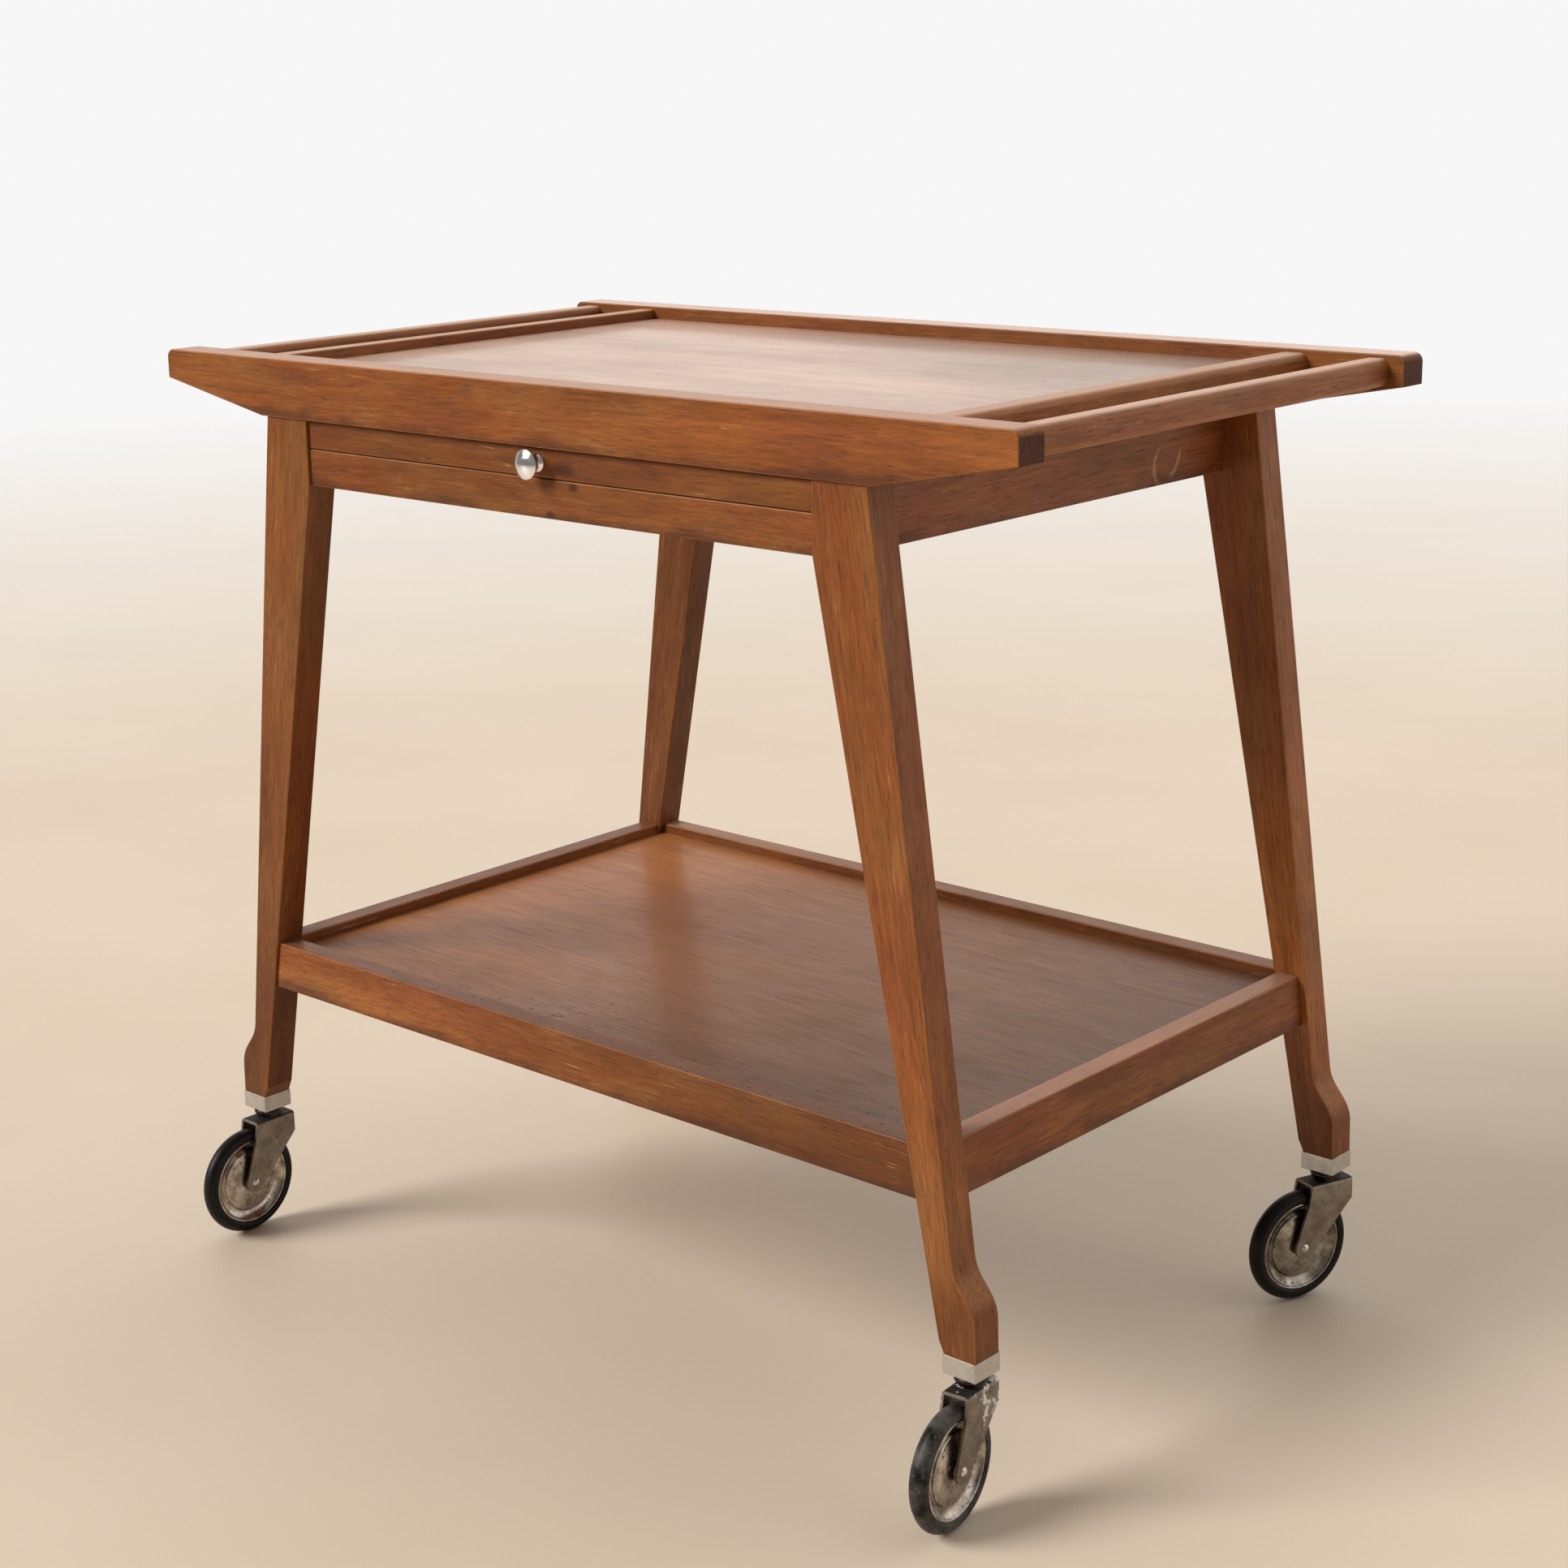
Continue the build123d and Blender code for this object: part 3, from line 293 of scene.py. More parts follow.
def teak(
    name,
    along,
    seed,
    tone=1.0,
    red=0.0,
    wear=1.0,
    top_tint_share=0.5,
    top=FADED_SHEEN_TOP,
    fade=None,
    knots_and_shadows=(),
    rings=(),
    pins=0.0,
    hem=None,
):
    """Old oiled teak: streaks, fibres, pores and pale scratches along the grain.

    tone lightens it and red turns it redder. wear is how far its edges are rubbed pale.
    bleach is how far the faces that look up are mixed towards the colour top: a pale top is partly
    real fading and partly a painted highlight; a dark top only makes them darker.
    fade is a direction, two places along it in metres, and the brightness at each. It paints light
    and shade onto a board; on the legs it also makes the foot darker towards the floor.
    knots are dark spots, each a point and its radii in metres: real knots, and on the
    leaf front a painted shadow of the knob. rings are pale curved scratches, each a
    centre, a radius, and the point and reach it is kept within.
    pins is the share of small dark pin holes. hem is the height of a lower edge that
    is made darker towards the bottom.
    """
    shader = Shader(name)
    vectors = grain_frame(along)
    place = board_place(shader, vectors, seed)
    figure = shader.noise(place, (1.1, 17, 17), 1, 0.4, seed + 3)
    figure = shader.math("SINE", shader.math("MULTIPLY", figure, 60.0))
    streaks = shader.noise(place, (5, 190, 190), 3, 0.6, seed + 15)
    fibre = shader.noise(place, (42, 640, 640), 4, 0.7, seed)
    pores = shader.spread(shader.noise(place, (85, 1500, 1500), 1, 0.5, seed), 0.60, 0.70)
    mottle = shader.noise(place, (12, 30, 30), 5, 0.66, seed + 7)
    strokes = shader.noise(place, (34, 800, 800), 4, 0.7, seed + 11)

    shade = shader.product(
        shader.spread(figure, -1, 1, 0.94, 1.04),
        shader.spread(fibre, 0.34, 0.66, 0.74, 1.20),
        shader.spread(mottle, 0.38, 0.58, 0.85, 1.06),
        shader.spread(streaks, 0.56, 0.68, 1.0, 0.86),
    )
    # Painted light and shade along the board, where given.
    if fade:
        shade = shader.product(shade, brightness_gradient(shader, fade))
    base = shader.darken(teak_colour(shader, place, seed, tone, red), shade)
    base = shader.mix(shader.product(pores, 0.52), base, PORE)
    scratches = shader.product(
        shader.spread(strokes, 0.60, 0.69), shader.spread(mottle, 0.45, 0.57), 0.62
    )
    base = shader.mix(scratches, base, SCRATCH)
    base = add_knots_and_shadows(shader, base, knots_and_shadows, mottle)
    base = add_rings(shader, base, rings, fibre)
    # The lower edge is made darker towards the bottom.
    if hem:
        rise = shader.math("SUBTRACT", shader.along(UP), hem)
        uneven = shader.math("MULTIPLY", shader.math("SUBTRACT", mottle, 0.5), 0.035)
        dirt = shader.spread(shader.math("ADD", rise, uneven), 0.0065, 0.0, 0.0, 0.6)
        base = shader.mix(dirt, base, HEM_DARK)

    # Painted highlight: faces that look up are mixed towards the colour top, partly real fading and
    # partly the sheen of a lit top.
    upward = shader.upward(0.75, 0.97)
    top_tinted = shader.mix(0.68, base, colour(*top))
    base = shader.mix(shader.product(upward, top_tint_share), base, top_tinted)
    if pins:
        holes = shader.product(
            shader.dots(shader.place, 230, 0.34, pins, seed),
            shader.spread(mottle, 0.42, 0.54, 0.15, 0.9),
            shader.spread(upward, 0.0, 1.0, 0.25, 1.0),
        )
        base = shader.mix(holes, base, PIN_HOLE)
    edge, end = edge_and_end(shader, vectors)
    end_dots = shader.noise(shader.place, (900, 900, 900), 2, 0.6, seed)
    base = shader.mix(end, base, shader.ramp(end_dots, [(0.35, END_DARK), (0.65, END_PALE)]))
    rubbed = shader.product(edge, shader.spread(strokes, 0.36, 0.62, 0.25, 1.0), 0.55 * wear)
    base = shader.mix(rubbed, base, RUBBED)

    relief = shader.math("SUBTRACT", shader.product(fibre, 0.6), shader.product(pores, 0.7))
    rough = shader.spread(mottle, 0.3, 0.7, 0.52, 0.37)
    rough = shader.math("ADD", rough, shader.product(pores, 0.15))
    rough = shader.math("ADD", rough, shader.product(end, 0.3), clamp=True)
    return shader.finish(
        {
            "Base Color": base,
            "Roughness": rough,
            "Specular IOR Level": 0.22,
            "Normal": shader.bump(relief, 0.00016, 0.7),
            "Coat Weight": 0.06,
            "Coat Roughness": 0.28,
        }
    )


def veneer(name, seed, tones, gloss, coat, stain, shine, fade, spots=0.0):
    """A veneered panel: long quiet figure, satin varnish and faint stains.

    tones are its dark, middle and light colours, gloss its mean roughness, coat and
    shine the strength of its varnish and of its own reflection, and stain the depth of
    its clouds. fade is as for teak: painted light and shade across the panel. spots is
    the share of dark spots near the front.
    """
    shader = Shader(name)
    place = shader.vector("ADD", shader.place, (seed, seed, 0))
    bend = shader.noise(place, (1.6, 5, 1), 1, seed=seed)
    shift = shader.math("MULTIPLY", shader.math("SUBTRACT", bend, 0.5), 0.06)
    place = shader.vector("ADD", place, shader.combine(0.0, shift, 0.0))
    bands = shader.noise(place, (1.3, 24, 1), 4, 0.6, seed)
    fibre = shader.noise(place, (34, 640, 1), 4, 0.66, seed)
    pores = shader.spread(shader.noise(place, (85, 1900, 1), 1, 0.5, seed), 0.61, 0.70)
    clouds = shader.noise(place, (5, 8, 1), 4, 0.6, seed + 5)
    figure = shader.noise(place, (0.8, 9, 1), 1, 0.4, seed + 3)
    figure = shader.math("SINE", shader.math("MULTIPLY", figure, 70.0))

    dark, middle, light = tones
    bands = shader.spread(bands, 0.3, 0.7)
    base = shader.ramp(bands, [(0.0, dark), (0.5, middle), (1.0, light)])
    shade = shader.product(
        shader.spread(fibre, 0.3, 0.7, 0.86, 1.13),
        shader.spread(figure, -1, 1, 0.94, 1.04),
        shader.spread(clouds, 0.35, 0.65, 1 - stain, 1.05),
        brightness_gradient(shader, fade),
    )
    base = shader.darken(base, shade)
    base = shader.mix(shader.product(pores, 0.45), base, PANEL_PORE)
    stained = shader.noise(place, (3.5, 7, 1), 5, 0.7, seed + 31)
    base = shader.mix(shader.spread(stained, 0.54, 0.70, 0.0, stain), base, PANEL_STAIN)
    if spots:
        marks = shader.spread(shader.noise(place, (180, 280, 1), 3, 0.6, seed + 41), 0.61, 0.66)
        marks = shader.math("MAXIMUM", marks, shader.dots(shader.place, 190, 0.40, spots, seed))
        front = shader.spread(shader.along(BACK), -0.12, -0.195, 0.12, 1.0)
        patchy = shader.math("ADD", shader.spread(clouds, 0.46, 0.62), 0.25)
        marks = shader.math("MULTIPLY", shader.product(marks, front), patchy, clamp=True)
        base = shader.mix(marks, base, PANEL_SPOT)
    relief = shader.math("SUBTRACT", shader.product(fibre, 0.5), shader.product(pores, 0.6))
    rough = shader.spread(clouds, 0.35, 0.65, gloss + 0.07, gloss - 0.04)
    rough = shader.math("ADD", rough, shader.spread(fibre, 0.3, 0.7, 0.10, -0.10))
    return shader.finish(
        {
            "Base Color": base,
            "Roughness": rough,
            "Specular IOR Level": shine,
            "Normal": shader.bump(relief, 0.00010, 0.6),
            "Coat Weight": coat,
            "Coat Roughness": 0.12,
        }
    )


def plain_wood(name, along, seed, tones):
    """Unstained wood of the pieces that are hidden at rest: runners, leaf board, dowels."""
    shader = Shader(name)
    parts = [shader.along(tuple(v)) for v in grain_frame(along)]
    place = shader.vector("ADD", shader.combine(*parts), (seed, seed, seed))
    bands = shader.noise(place, (2.2, 40, 40), 3, 0.55, seed)
    fibre = shader.noise(place, (26, 700, 700), 2, 0.6, seed)
    dark, light = tones
    base = shader.ramp(shader.spread(bands, 0.3, 0.7), [(0.0, dark), (1.0, light)])
    base = shader.darken(base, shader.spread(fibre, 0.3, 0.7, 0.84, 1.12))
    return shader.finish(
        {"Base Color": base, "Roughness": 0.55, "Normal": shader.bump(fibre, 0.00012, 0.6)}
    )


# ---------------------------------------------------------------- metal and rubber
GRIME = colour(0.055, 0.042, 0.032)
RUST = colour(0.115, 0.052, 0.024)
RUST_PIT = colour(0.050, 0.024, 0.014)
BLACKENED = colour(0.016, 0.012, 0.011)
PAINT = colour(0.72, 0.70, 0.66)
CLEAN_RUBBER = colour(0.0035, 0.0030, 0.0030)
SCUFF = colour(0.16, 0.145, 0.13)
KNOB_PLATING = colour(0.93, 0.96, 1.0)
KNOB_PIT = colour(0.25, 0.23, 0.21)


def steel(name, bright, dull, rough, dirt, rust, seed, pits=0.0, splash=0.0, black_top=False):
    """Old metal: dull patches, fine scratches, grime specks and rust.

    rough is the roughness where it is bright. dirt and rust go from 0, hardly any, to 1.
    pits is the share of rust pits, splash adds drips of pale paint towards the top and
    the back, and black_top blackens the faces that look up.
    """
    shader = Shader(name)
    place = shader.place
    patches = shader.noise(place, (95, 95, 95), 4, 0.62, seed)
    fine = shader.noise(place, (700, 700, 700), 3, 0.6, seed)
    base = shader.mix(shader.spread(patches, 0.38, 0.66), colour(*bright), colour(*dull))
    lines = shader.noise(place, (260, 260, 2600), 2, 0.6, seed + 2)
    base = shader.darken(base, shader.spread(lines, 0.3, 0.7, 0.88, 1.08))
    specks = shader.spread(fine, 0.66 - 0.14 * dirt, 0.74 - 0.12 * dirt)
    specks = shader.product(specks, 0.75)
    base = shader.mix(specks, base, GRIME)
    rusty = shader.noise(place, (210, 210, 210), 5, 0.68, seed + 9)
    rusty = shader.spread(rusty, 0.72 - 0.22 * rust, 0.80 - 0.20 * rust)
    base = shader.mix(rusty, base, RUST)
    covered = shader.math("MAXIMUM", rusty, shader.product(specks, 0.6))
    if pits:
        spots = shader.dots(place, 330, 0.34, pits, seed + 4)
        base = shader.mix(shader.product(spots, 0.85), base, RUST_PIT)
        covered = shader.math("MAXIMUM", covered, spots)
    if black_top:
        upward = shader.upward(0.45, 0.85)
        base = shader.mix(upward, base, BLACKENED)
        covered = shader.math("MAXIMUM", covered, upward)
    if splash:
        spill = shader.noise(place, (150, 150, 110), 5, 0.7, seed + 21)
        near_top = shader.spread(shader.along(UP), 0.048, 0.078, -0.04, 0.5 * splash)
        near_heel = shader.spread(shader.along(BACK), -0.215, -0.190, 0.0, splash)
        spill = shader.math("ADD", shader.math("ADD", spill, near_top), near_heel)
        spill = shader.spread(spill, 0.63, 0.66)
        base = shader.mix(spill, base, PAINT)
        covered = shader.math("MAXIMUM", covered, spill)
    roughness = shader.spread(patches, 0.35, 0.7, rough, rough + 0.16)
    roughness = shader.math("ADD", roughness, shader.product(covered, 0.25), clamp=True)
    relief = shader.math("ADD", shader.product(fine, 0.5), shader.product(rusty, 0.7))
    return shader.finish(
        {
            "Base Color": base,
            "Metallic": shader.spread(covered, 0, 1, 1.0, 0.15),
            "Roughness": roughness,
            "Normal": shader.bump(relief, 0.00010, 0.5),
        }
    )


def rubber(name, seed, dusty):
    """Black tyre rubber, dusty and scuffed in patches; dusty is 0 for clean, over 1 for grey."""
    shader = Shader(name)
    dust = shader.noise(shader.place, (60, 60, 60), 4, 0.65, seed)
    scuff = shader.noise(shader.place, (420, 420, 420), 3, 0.65, seed + 4)
    grey = 0.004 + 0.055 * dusty
    dulled = colour(grey, 0.93 * grey, 0.87 * grey)
    base = shader.mix(shader.spread(dust, 0.42, 0.68), CLEAN_RUBBER, dulled)
    marks = shader.spread(scuff, 0.64 - 0.02 * dusty, 0.74 - 0.04 * dusty)
    base = shader.mix(shader.product(marks, 0.15 + 0.4 * dusty), base, SCUFF)
    rough = shader.spread(dust, 0.35, 0.7, 0.34, 0.55)
    rough = shader.math("ADD", rough, shader.product(marks, 0.2))
    return shader.finish(
        {
            "Base Color": base,
            "Roughness": rough,
            "Specular IOR Level": 0.22,
            "Normal": shader.bump(scuff, 0.00012, 0.5),
        }
    )


def chrome(name):
    """The knob's plating: bright, with faint smears and a few pits."""
    shader = Shader(name)
    smear = shader.noise(shader.place, (120, 120, 240), 3, 0.6, seed=1.0)
    pits = shader.noise(shader.place, (1500, 1500, 1500), 2, 0.5, seed=2.0)
    pits = shader.spread(pits, 0.68, 0.74)
    base = shader.mix(shader.product(pits, 0.6), KNOB_PLATING, KNOB_PIT)
    return shader.finish(
        {
            "Base Color": base,
            "Metallic": 1.0,
            "Roughness": shader.spread(smear, 0.4, 0.7, 0.09, 0.26),
            "Normal": shader.bump(pits, 0.00004, 0.4),
        }
    )


# ---------------------------------------------------------------- turned pieces
def arc(centre, radius, start, end, steps=10):
    """Points (r, h) on a circle in a turned outline, angles in degrees from +r."""
    points = []
    for step in range(steps + 1):
        angle = math.radians(start + (end - start) * step / steps)
        points.append((centre[0] + radius * math.cos(angle), centre[1] + radius * math.sin(angle)))
    return points


SEGMENTS = 112  # round a turned piece
SHARP = math.radians(32)  # its edges that bend more than this stay crisp


def turned(name, outline, centre, axis):
    """An outline of (r, h) in millimetres turned about an axis through a point.

    An outline that starts and ends on the axis makes a solid knob; any other is
    closed into a ring.
    """
    side = axis.orthogonal().normalized()
    other = axis.cross(side).normalized()
    points, rings = [], []
    for r, h in outline:
        along = centre + axis * (h * MM)
        if r == 0:
            rings.append([len(points)] * SEGMENTS)
            points.append(along)
            continue
        ring = []
        for step in range(SEGMENTS):
            angle = 2 * math.pi * step / SEGMENTS
            ring.append(len(points))
            points.append(along + (side * math.cos(angle) + other * math.sin(angle)) * (r * MM))
        rings.append(ring)
    on_axis = outline[0][0] == 0
    following_rings = rings[1:] if on_axis else rings[1:] + rings[:1]
    faces = []
    for lower, upper in zip(rings, following_rings):
        for step in range(SEGMENTS):
            following = (step + 1) % SEGMENTS
            corners = [lower[step], lower[following], upper[following], upper[step]]
            faces.append(list(dict.fromkeys(corners)))  # a triangle where two are the same
    mesh = bpy.data.meshes.new(name)
    mesh.from_pydata([tuple(point) for point in points], [], faces)
    mesh.update()
    mesh.shade_smooth()
    mesh.set_sharp_from_angle(angle=SHARP)
    piece = bpy.data.objects.new(name, mesh)
    bpy.context.scene.collection.objects.link(piece)
    return piece


def both_sides(half):
    """A ring outline from one of its halves, which runs from the bore outwards."""
    return half + [(r, -h) for r, h in reversed(half)]


# From the bore outwards, (r, h) from the wheel's middle.
TYRE_HALF = (
    [(31.6, 5.15), (32.0, 5.55), (33.0, 5.82), (34.3, 6.0)]
    + [(35.3, 6.0), (35.7, 5.85), (36.0, 5.78), (36.4, 5.70)]
    + arc((33.6, 0.0), 5.9, 58, 4, 12)
)
DISC_HALF = (
    [(2.05, 6.55), (2.2, 6.75), (4.3, 6.75)]
    + arc((4.3, 6.35), 0.4, 80, 10, 4)
    + [(4.85, 5.4), (5.5, 5.0), (9.0, 4.75), (14.0, 4.15), (18.5, 3.45), (21.2, 2.9)]
    + arc((21.9, 2.05), 0.9, 72, 0, 5)
    + [(22.95, 1.5)]
    + arc((23.6, 1.45), 0.55, 200, 290, 5)
    + [(24.7, 1.15), (26.2, 1.65), (27.6, 2.4), (28.7, 3.2), (29.5, 4.1)]
    + arc((30.65, 4.45), 0.95, 165, 0, 9)
    + [(31.58, 4.0)]
)
# From its foot on the leaf to its crown.
KNOB_OUTLINE = (
    [(0, 0)]
    + arc((5.3, 0.55), 0.55, -90, 60, 6)
    + [(4.9, 1.55), (4.4, 2.1), (3.9, 2.9), (3.6, 4.1), (3.6, 5.4)]
    + [(3.9, 6.8), (4.7, 8.0), (6.2, 9.0), (8.0, 9.7)]
    + arc((8.75, 10.6), 0.75, -75, 75, 8)
    + [(8.3, 11.75), (7.2, 12.35), (5.8, 12.95), (4.2, 13.45), (2.5, 13.8), (1.2, 13.95), (0, 14.0)]
)


# ---------------------------------------------------------------- dress the CAD nodes
def dress(node, material):
    """The material on a CAD node."""
    mesh = NODES[node].data
    mesh.materials.clear()
    mesh.materials.append(material)


WELD_GAP = 1e-6
FLAT_ANGLE = math.radians(1)
ROUNDED_ANGLE = math.radians(40)


def soften(node, width):
    """Small rounds on the sharp edges of a pressed metal node, once its mesh is joined up.

    width is the most they get. Blender narrows all of a node's rounds until none of them
    overlap: to between 0.08 and 0.32 mm on the forks, and 0.18 mm on the ferrules.
    """
    piece = NODES[node]
    weld = piece.modifiers.new("weld", "WELD")
    weld.merge_threshold = WELD_GAP
    flatten = piece.modifiers.new("flatten", "DECIMATE")
    flatten.decimate_type = "DISSOLVE"
    flatten.angle_limit = FLAT_ANGLE
    rounds = piece.modifiers.new("rounds", "BEVEL")
    rounds.width = width
    rounds.segments = 2
    rounds.limit_method = "ANGLE"
    rounds.angle_limit = ROUNDED_ANGLE
    rounds.harden_normals = False
    normals = piece.modifiers.new("normals", "WEIGHTED_NORMAL")
    normals.keep_sharp = False


def replace(node, piece, material):
    """A finer mesh in place of a CAD node, on the same body."""
    piece.data.materials.append(material)
    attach(piece, NODES[node]["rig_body"])
    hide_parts(node)


FRONT_FACE = -0.2085  # y of the faces of the leaf and of the rail under it
RIGHT_FACE = 0.2398  # x of the right end apron's face


def board_looks():
    """What teak() is told about each board, by node; the order gives the seeds."""
    # Painted highlight: the tops of the handle bars and tray end bars are mixed towards a pale
    # colour, partly real fading and partly the sheen a lit top catches.
    handle = dict(along=Y, tone=0.98, red=0.06, wear=0.6, top_tint_share=1.0, top=PALE_SHEEN_TOP)
    tray_end = dict(along=Y, tone=0.95, red=0.06, top_tint_share=1.0)
    boards = {
        # Painted highlight: the side rails' tops are paler, partly real fading and partly sheen;
        # the back rail's top is palest.
        "front_side_rail": dict(along=X, tone=1.06, top_tint_share=0.7, top=PALE_SHEEN_TOP),
        "back_side_rail": dict(along=X, tone=0.78, wear=0.3, top_tint_share=1.0, top=PALEST_SHEEN_TOP),
        "left_handle_bar": handle,
        "right_handle_bar": handle,
        "left_tray_end_bar": tray_end,
        "right_tray_end_bar": tray_end,
        "front_lower_rail": dict(
            along=X,
            tone=0.86,
            red=0.04,
            knots_and_shadows=(
                ((0.0290, FRONT_FACE, 0.5895), (0.006, 0.02, 0.004)),
                ((0.0080, FRONT_FACE, 0.5710), (0.005, 0.02, 0.003)),
            ),
        ),
        "back_apron": dict(along=X, tone=0.95),
        "left_end_apron": dict(along=Y, tone=0.92),
        "right_end_apron": dict(
            along=Y,
            tone=0.92,
            rings=(
                ((RIGHT_FACE, 0.1235, 0.5800), 0.0160, (RIGHT_FACE, 0.1070, 0.5800), 0.017),
                ((RIGHT_FACE, 0.1150, 0.5915), 0.0220, (RIGHT_FACE, 0.1340, 0.5790), 0.012),
            ),
        ),
        "leaf_front": dict(
            along=X,
            tone=0.76,
            red=-0.02,
            # Painted shadow: this dark spot right of the knob stands for the knob's shadow on the
            # leaf front.
            knots_and_shadows=(((0.020, FRONT_FACE, 0.600), (0.012, 0.02, 0.005)),),
        ),
        "leaf_stop": dict(along=X, tone=0.9),
        "front_shelf_rail": dict(
            along=X,
            tone=0.92,
            wear=0.4,
            top_tint_share=1.0,
            top=DARKER_TOP,
            # Painted light and shade: lighter at the left end and darker at the right, the pool of
            # shade under the tray.
            fade=(RIGHT, -0.25, 0.25, 1.20, 0.62),
            pins=0.30,
        ),
        "back_shelf_rail": dict(along=X, tone=0.66, top_tint_share=0.3),
        "left_shelf_rail": dict(along=Y, tone=0.80, top_tint_share=1.0, top=DARKER_TOP),
        "right_shelf_rail": dict(along=Y, tone=0.92),
    }
    for corner in CORNERS:
        lean = LEG_LEAN if corner.endswith("right") else -LEG_LEAN
        foot = (UP, 0.105, 0.17, 0.66, 1.0)
        boards[f"{corner}_leg"] = dict(along=Vector((lean, 0, -1)), tone=0.95, fade=foot, pins=0.02)
    # Painted shade: the back left leg is darkened as a whole, for the shade it stands in.
    boards["back_left_leg"].update(tone=0.60)
    # Painted shade: the front left leg is darker, and darker still from 0.46 m down towards the
    # floor.
    boards["front_left_leg"].update(tone=0.86, fade=(UP, 0.105, 0.46, 0.60, 1.0))
    return boards


def dress_wood():
    """The woodwork, each board with its own grain."""
    for seed, (node, looks) in enumerate(board_looks().items()):
        # Rails and aprons are made darker towards their lower edge.
        darker_hem = node.endswith(("_rail", "_apron"))
        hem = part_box(node)[0].z if darker_hem else None
        dress(node, teak(f"teak_{node}", seed=seed + 0.5, hem=hem, **looks))

    tray = veneer(
        "veneer_tray",
        seed=3.1,
        # Painted reflection: these tones are far paler than the shelf's, partly the veneer's own
        # colour and partly a painted reflection of the bright wall on the varnish.
        tones=((0.540, 0.318, 0.228), (0.610, 0.378, 0.278), (0.670, 0.435, 0.330)),
        gloss=0.42,
        coat=0.45,
        stain=0.26,
        shine=0.5,
        # Painted shade: the tray is darker towards the back right.
        fade=((0.6, 1.0, 0.0), 0.05, 0.30, 1.0, 0.50),
    )
    dress("top_panel", tray)
    shelf = veneer(
        "veneer_shelf",
        seed=8.4,
        tones=((0.172, 0.0610, 0.0190), (0.208, 0.0770, 0.0240), (0.248, 0.0960, 0.0320)),
        gloss=0.36,
        coat=0.06,
        stain=0.14,
        shine=0.25,
        # Painted light and shade: lighter on the left, where light reaches under the tray and the
        # varnish reflects the lit wall, darker to the right and front.
        fade=((1.0, -0.45, 0.0), -0.28, 0.28, 1.70, 0.58),
        spots=0.40,
    )
    dress("shelf_panel", shelf)

    ply_tones = ((0.30, 0.16, 0.075), (0.46, 0.28, 0.15))
    dress("leaf_board", plain_wood("ply_leaf", X, seed=2.0, tones=ply_tones))
    beech_tones = ((0.38, 0.23, 0.12), (0.52, 0.34, 0.19))
    runs = dict(left_leaf_runner=Y, right_leaf_runner=Y, frame_dowels=X, shelf_dowels=X)
    for node, along in runs.items():
        dress(node, plain_wood(f"beech_{node}", along, seed=5.0, tones=beech_tones))


FERRULE_BRIGHT, FERRULE_DULL = (0.58, 0.55, 0.51), (0.50, 0.47, 0.43)
NECK_BRIGHT, NECK_DULL = (0.030, 0.028, 0.027), (0.055, 0.048, 0.042)
PLAIN_BRIGHT, PLAIN_DULL = (0.48, 0.46, 0.43), (0.34, 0.31, 0.28)
RIVET_BRIGHT, RIVET_DULL = (0.72, 0.70, 0.67), (0.52, 0.49, 0.45)
FORK_BRIGHT, FORK_DULL = (0.30, 0.26, 0.215), (0.19, 0.155, 0.125)
DISC_BRIGHT, DISC_DULL = (0.66, 0.60, 0.53), (0.21, 0.172, 0.138)
FORK_ROUND, FERRULE_ROUND = 0.35 * MM, 0.3 * MM
WORN_CASTOR = "front_right"  # a grey scuffed tyre and drips of paint
DARK_CASTOR = "back_right"  # a duller wheel


def dress_castor(corner, seed):
    """A castor's worn metal and its tyre; the turned wheel stands in for the CAD wheel."""
    splash = 0.10 if corner == WORN_CASTOR else 0.0
    dusty = 1.7 if corner == WORN_CASTOR else 0.05
    brightness = 0.72 if corner == DARK_CASTOR else 1.0
    fork = steel(
        f"fork_{corner}",
        FORK_BRIGHT,
        FORK_DULL,
        rough=0.34,
        dirt=0.35,
        rust=0.45,
        seed=seed + 6.0,
        pits=0.12,
        splash=splash,
        black_top=True,
    )
    disc = steel(
        f"wheel_steel_{corner}",
        [brightness * part for part in DISC_BRIGHT],
        [brightness * part for part in DISC_DULL],
        rough=0.17,
        dirt=0.55,
        rust=0.50,
        seed=seed + 15.0,
        pits=0.10,
    )
    dress(f"{corner}_castor_fork", fork)
    soften(f"{corner}_castor_fork", FORK_ROUND)
    soften(f"{corner}_ferrule", FERRULE_ROUND)

    roll = JOINTS[f"{corner}_roll"]
    centre, axis = Vector(roll["pos_m"]), Vector(roll["axis"]).normalized()
    tyre = turned(f"{corner}_tyre_rubber", both_sides(TYRE_HALF), centre, axis)
    replace(f"{corner}_tyre", tyre, rubber(f"rubber_{corner}", seed, dusty))
    wheel = turned(f"{corner}_pressed_disc", both_sides(DISC_HALF), centre, axis)
    replace(f"{corner}_wheel_disc", wheel, disc)


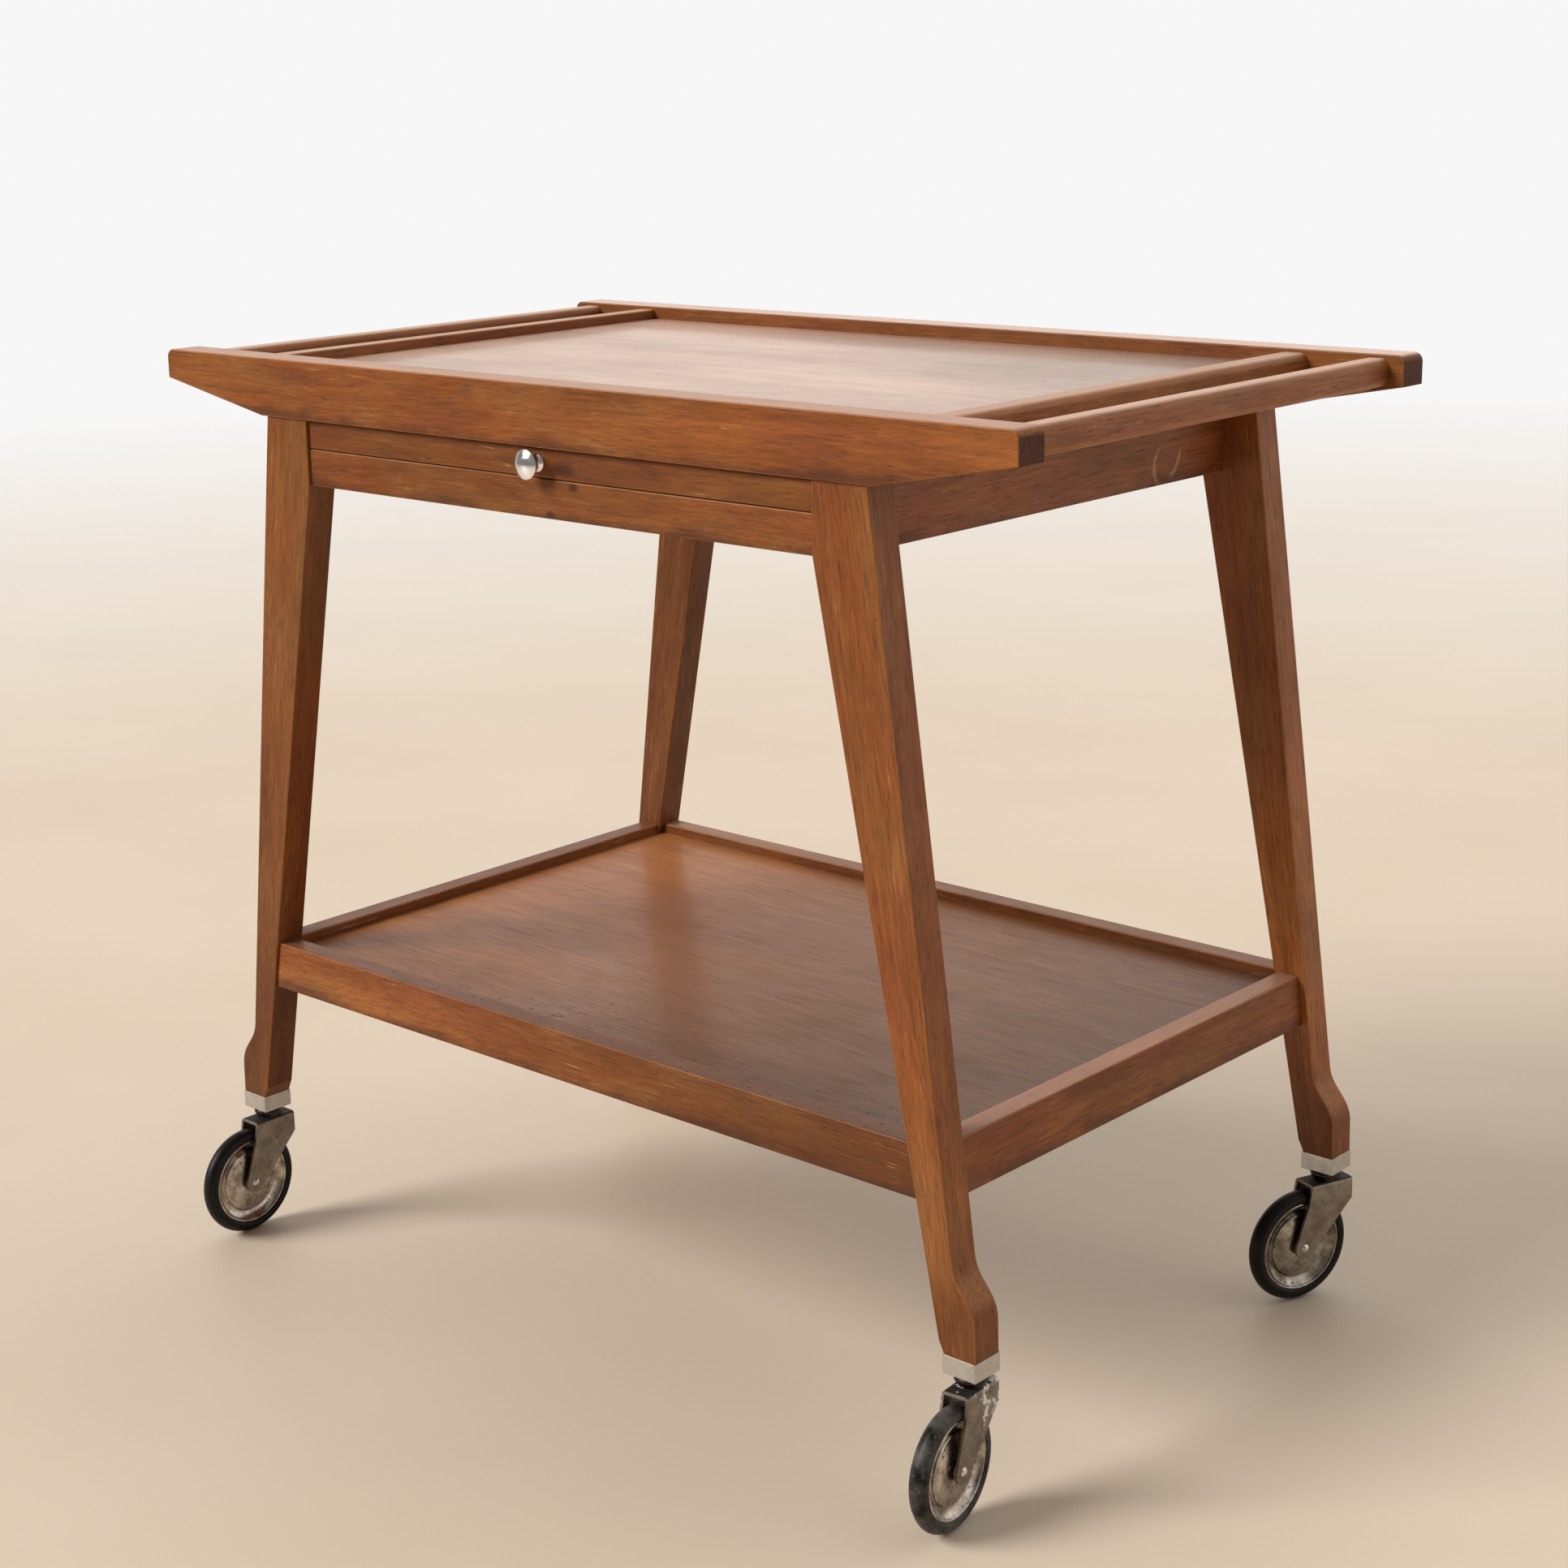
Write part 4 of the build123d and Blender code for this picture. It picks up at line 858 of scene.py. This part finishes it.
def dress_metal():
    """Ferrules, castors, knob and screws."""
    ferrule = steel(
        "satin_ferrule", FERRULE_BRIGHT, FERRULE_DULL, rough=0.38, dirt=0.0, rust=0.0, seed=1.0
    )
    black = steel("black_neck", NECK_BRIGHT, NECK_DULL, rough=0.24, dirt=0.2, rust=0.25, seed=2.0)
    plain = steel("plain_steel", PLAIN_BRIGHT, PLAIN_DULL, rough=0.34, dirt=0.2, rust=0.1, seed=3.0)
    rivet = steel("rivet", RIVET_BRIGHT, RIVET_DULL, rough=0.25, dirt=0.1, rust=0.15, seed=4.0)
    for seed, corner in enumerate(CORNERS):
        dress(f"{corner}_ferrule", ferrule)
        dress(f"{corner}_castor_neck", black)
        dress(f"{corner}_castor_stem", plain)
        dress(f"{corner}_castor_axle", rivet)
        dress_castor(corner, seed)

    low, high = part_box("leaf_knob")
    base = Vector(((low.x + high.x) / 2, high.y, (low.z + high.z) / 2))
    knob = turned("knob_turned", KNOB_OUTLINE, base, -Y)
    replace("leaf_knob", knob, chrome("chrome"))
    for node in ("castor_sockets", "runner_screws", "leaf_stop_screws", "leaf_knob_screw"):
        dress(node, plain)


# ---------------------------------------------------------------- stage, light, camera
FLOOR_TONES = ((0.66, 0.56, 0.445), (0.70, 0.60, 0.485))
FLOOR_REACH = 5.0  # from the middle to each side, in metres
FADE_START = 1.6  # where the floor starts to fade out
DIM_ROOM = colour(0.20, 0.178, 0.155)
LIT_WALL = colour(1.0, 0.955, 0.905)
SEEN_WHITE = colour(0.93, 0.93, 0.93)
# The Y of a direction where the dim room ends, and where the lit wall starts.
ROOM_ENDS, WALL_STARTS = -0.30, 0.35
KEY_COLOUR = (1.0, 0.965, 0.92)
KEY_STRENGTH = 3.1
KEY_WIDTH = math.radians(28)
KEY_AIM = Vector((1.5, 2.3, -1.9))  # the way its light goes

CAMERA_PLACE = (1.23981, -1.38231, 0.85393)
CAMERA_TURN = math.radians(43.32)  # to the left of looking straight back
CAMERA_DOWN = math.radians(14.77)
CAMERA_ROLL = math.radians(-1.34)
CAMERA_SENSOR, CAMERA_LENS = 36, 63.6  # in mm
CAMERA_SHIFT = (0.0517, -0.0097)


def floor_material():
    """Pale floor that fades out into the room's own light far from the object."""
    shader = Shader("floor")
    tone = shader.noise(shader.place, (3, 3, 3), 3, 0.5)
    base = shader.ramp(tone, [(0.3, FLOOR_TONES[0]), (0.7, FLOOR_TONES[1])])
    looks = {"Base Color": base, "Roughness": 0.5, "Specular IOR Level": 0.3}
    surface = shader.add("BsdfPrincipled", looks)
    clear = shader.add("BsdfTransparent", {})
    away = shader.vector("LENGTH", shader.place)
    fade = shader.spread(away, FADE_START, FLOOR_REACH)
    mixed = shader.add("MixShader", {0: fade, 1: surface.outputs[0], 2: clear.outputs[0]})
    shader.add("OutputMaterial", {"Surface": mixed.outputs[0]})
    return shader.material


def room_light():
    """A bright wall behind the object and a dim room in front; the camera sees plain white."""
    world = bpy.data.worlds.new("soft room")
    world.use_nodes = True
    tree = world.node_tree
    background = tree.nodes["Background"]
    background.inputs["Strength"].default_value = 1.0
    direction = tree.nodes.new("ShaderNodeTexCoord").outputs["Generated"]
    split = tree.nodes.new("ShaderNodeSeparateXYZ")
    tree.links.new(direction, split.inputs[0])
    spread = tree.nodes.new("ShaderNodeMapRange")
    spread.inputs["From Min"].default_value = ROOM_ENDS
    spread.inputs["From Max"].default_value = WALL_STARTS
    tree.links.new(split.outputs["Y"], spread.inputs["Value"])
    room = tree.nodes.new("ShaderNodeMix")
    room.data_type = "RGBA"
    room.inputs[MIX_A].default_value = DIM_ROOM
    room.inputs[MIX_B].default_value = LIT_WALL
    tree.links.new(spread.outputs[0], room.inputs[0])
    seen = tree.nodes.new("ShaderNodeMix")
    seen.data_type = "RGBA"
    seen.inputs[MIX_B].default_value = SEEN_WHITE
    light_path = tree.nodes.new("ShaderNodeLightPath")
    tree.links.new(light_path.outputs["Is Camera Ray"], seen.inputs[0])
    tree.links.new(room.outputs[MIX_RESULT], seen.inputs[MIX_A])
    tree.links.new(seen.outputs[MIX_RESULT], background.inputs["Color"])
    bpy.context.scene.world = world


def studio():
    """A plain pale floor and soft light from the front left."""
    mesh = bpy.data.meshes.new("floor")
    half = FLOOR_REACH
    corners = [(-half, -half, 0), (half, -half, 0), (half, half, 0), (-half, half, 0)]
    mesh.from_pydata(corners, [], [(0, 1, 2, 3)])
    mesh.materials.append(floor_material())
    floor = bpy.data.objects.new("floor", mesh)
    bpy.context.scene.collection.objects.link(floor)

    key = bpy.data.lights.new("key", "SUN")
    key.energy = KEY_STRENGTH
    key.angle = KEY_WIDTH
    key.color = KEY_COLOUR
    lamp = bpy.data.objects.new("key", key)
    lamp.rotation_euler = KEY_AIM.to_track_quat("-Z", "Y").to_euler()
    bpy.context.scene.collection.objects.link(lamp)
    room_light()
    bpy.context.scene.view_settings.view_transform = "Standard"


def camera():
    """The viewpoint: off the front right corner, a little above the tray."""
    data = bpy.data.cameras.new("camera")
    data.sensor_width = CAMERA_SENSOR
    data.lens = CAMERA_LENS
    data.shift_x, data.shift_y = CAMERA_SHIFT
    data.clip_end = 100
    viewer = bpy.data.objects.new("camera", data)
    turn = Matrix.Rotation(CAMERA_TURN, 4, "Z")
    tilt = Matrix.Rotation(math.pi / 2 - CAMERA_DOWN, 4, "X")
    roll = Matrix.Rotation(CAMERA_ROLL, 4, "Z")
    viewer.matrix_world = Matrix.Translation(CAMERA_PLACE) @ turn @ tilt @ roll
    bpy.context.scene.collection.objects.link(viewer)
    bpy.context.scene.camera = viewer


dress_wood()
dress_metal()
studio()
camera()
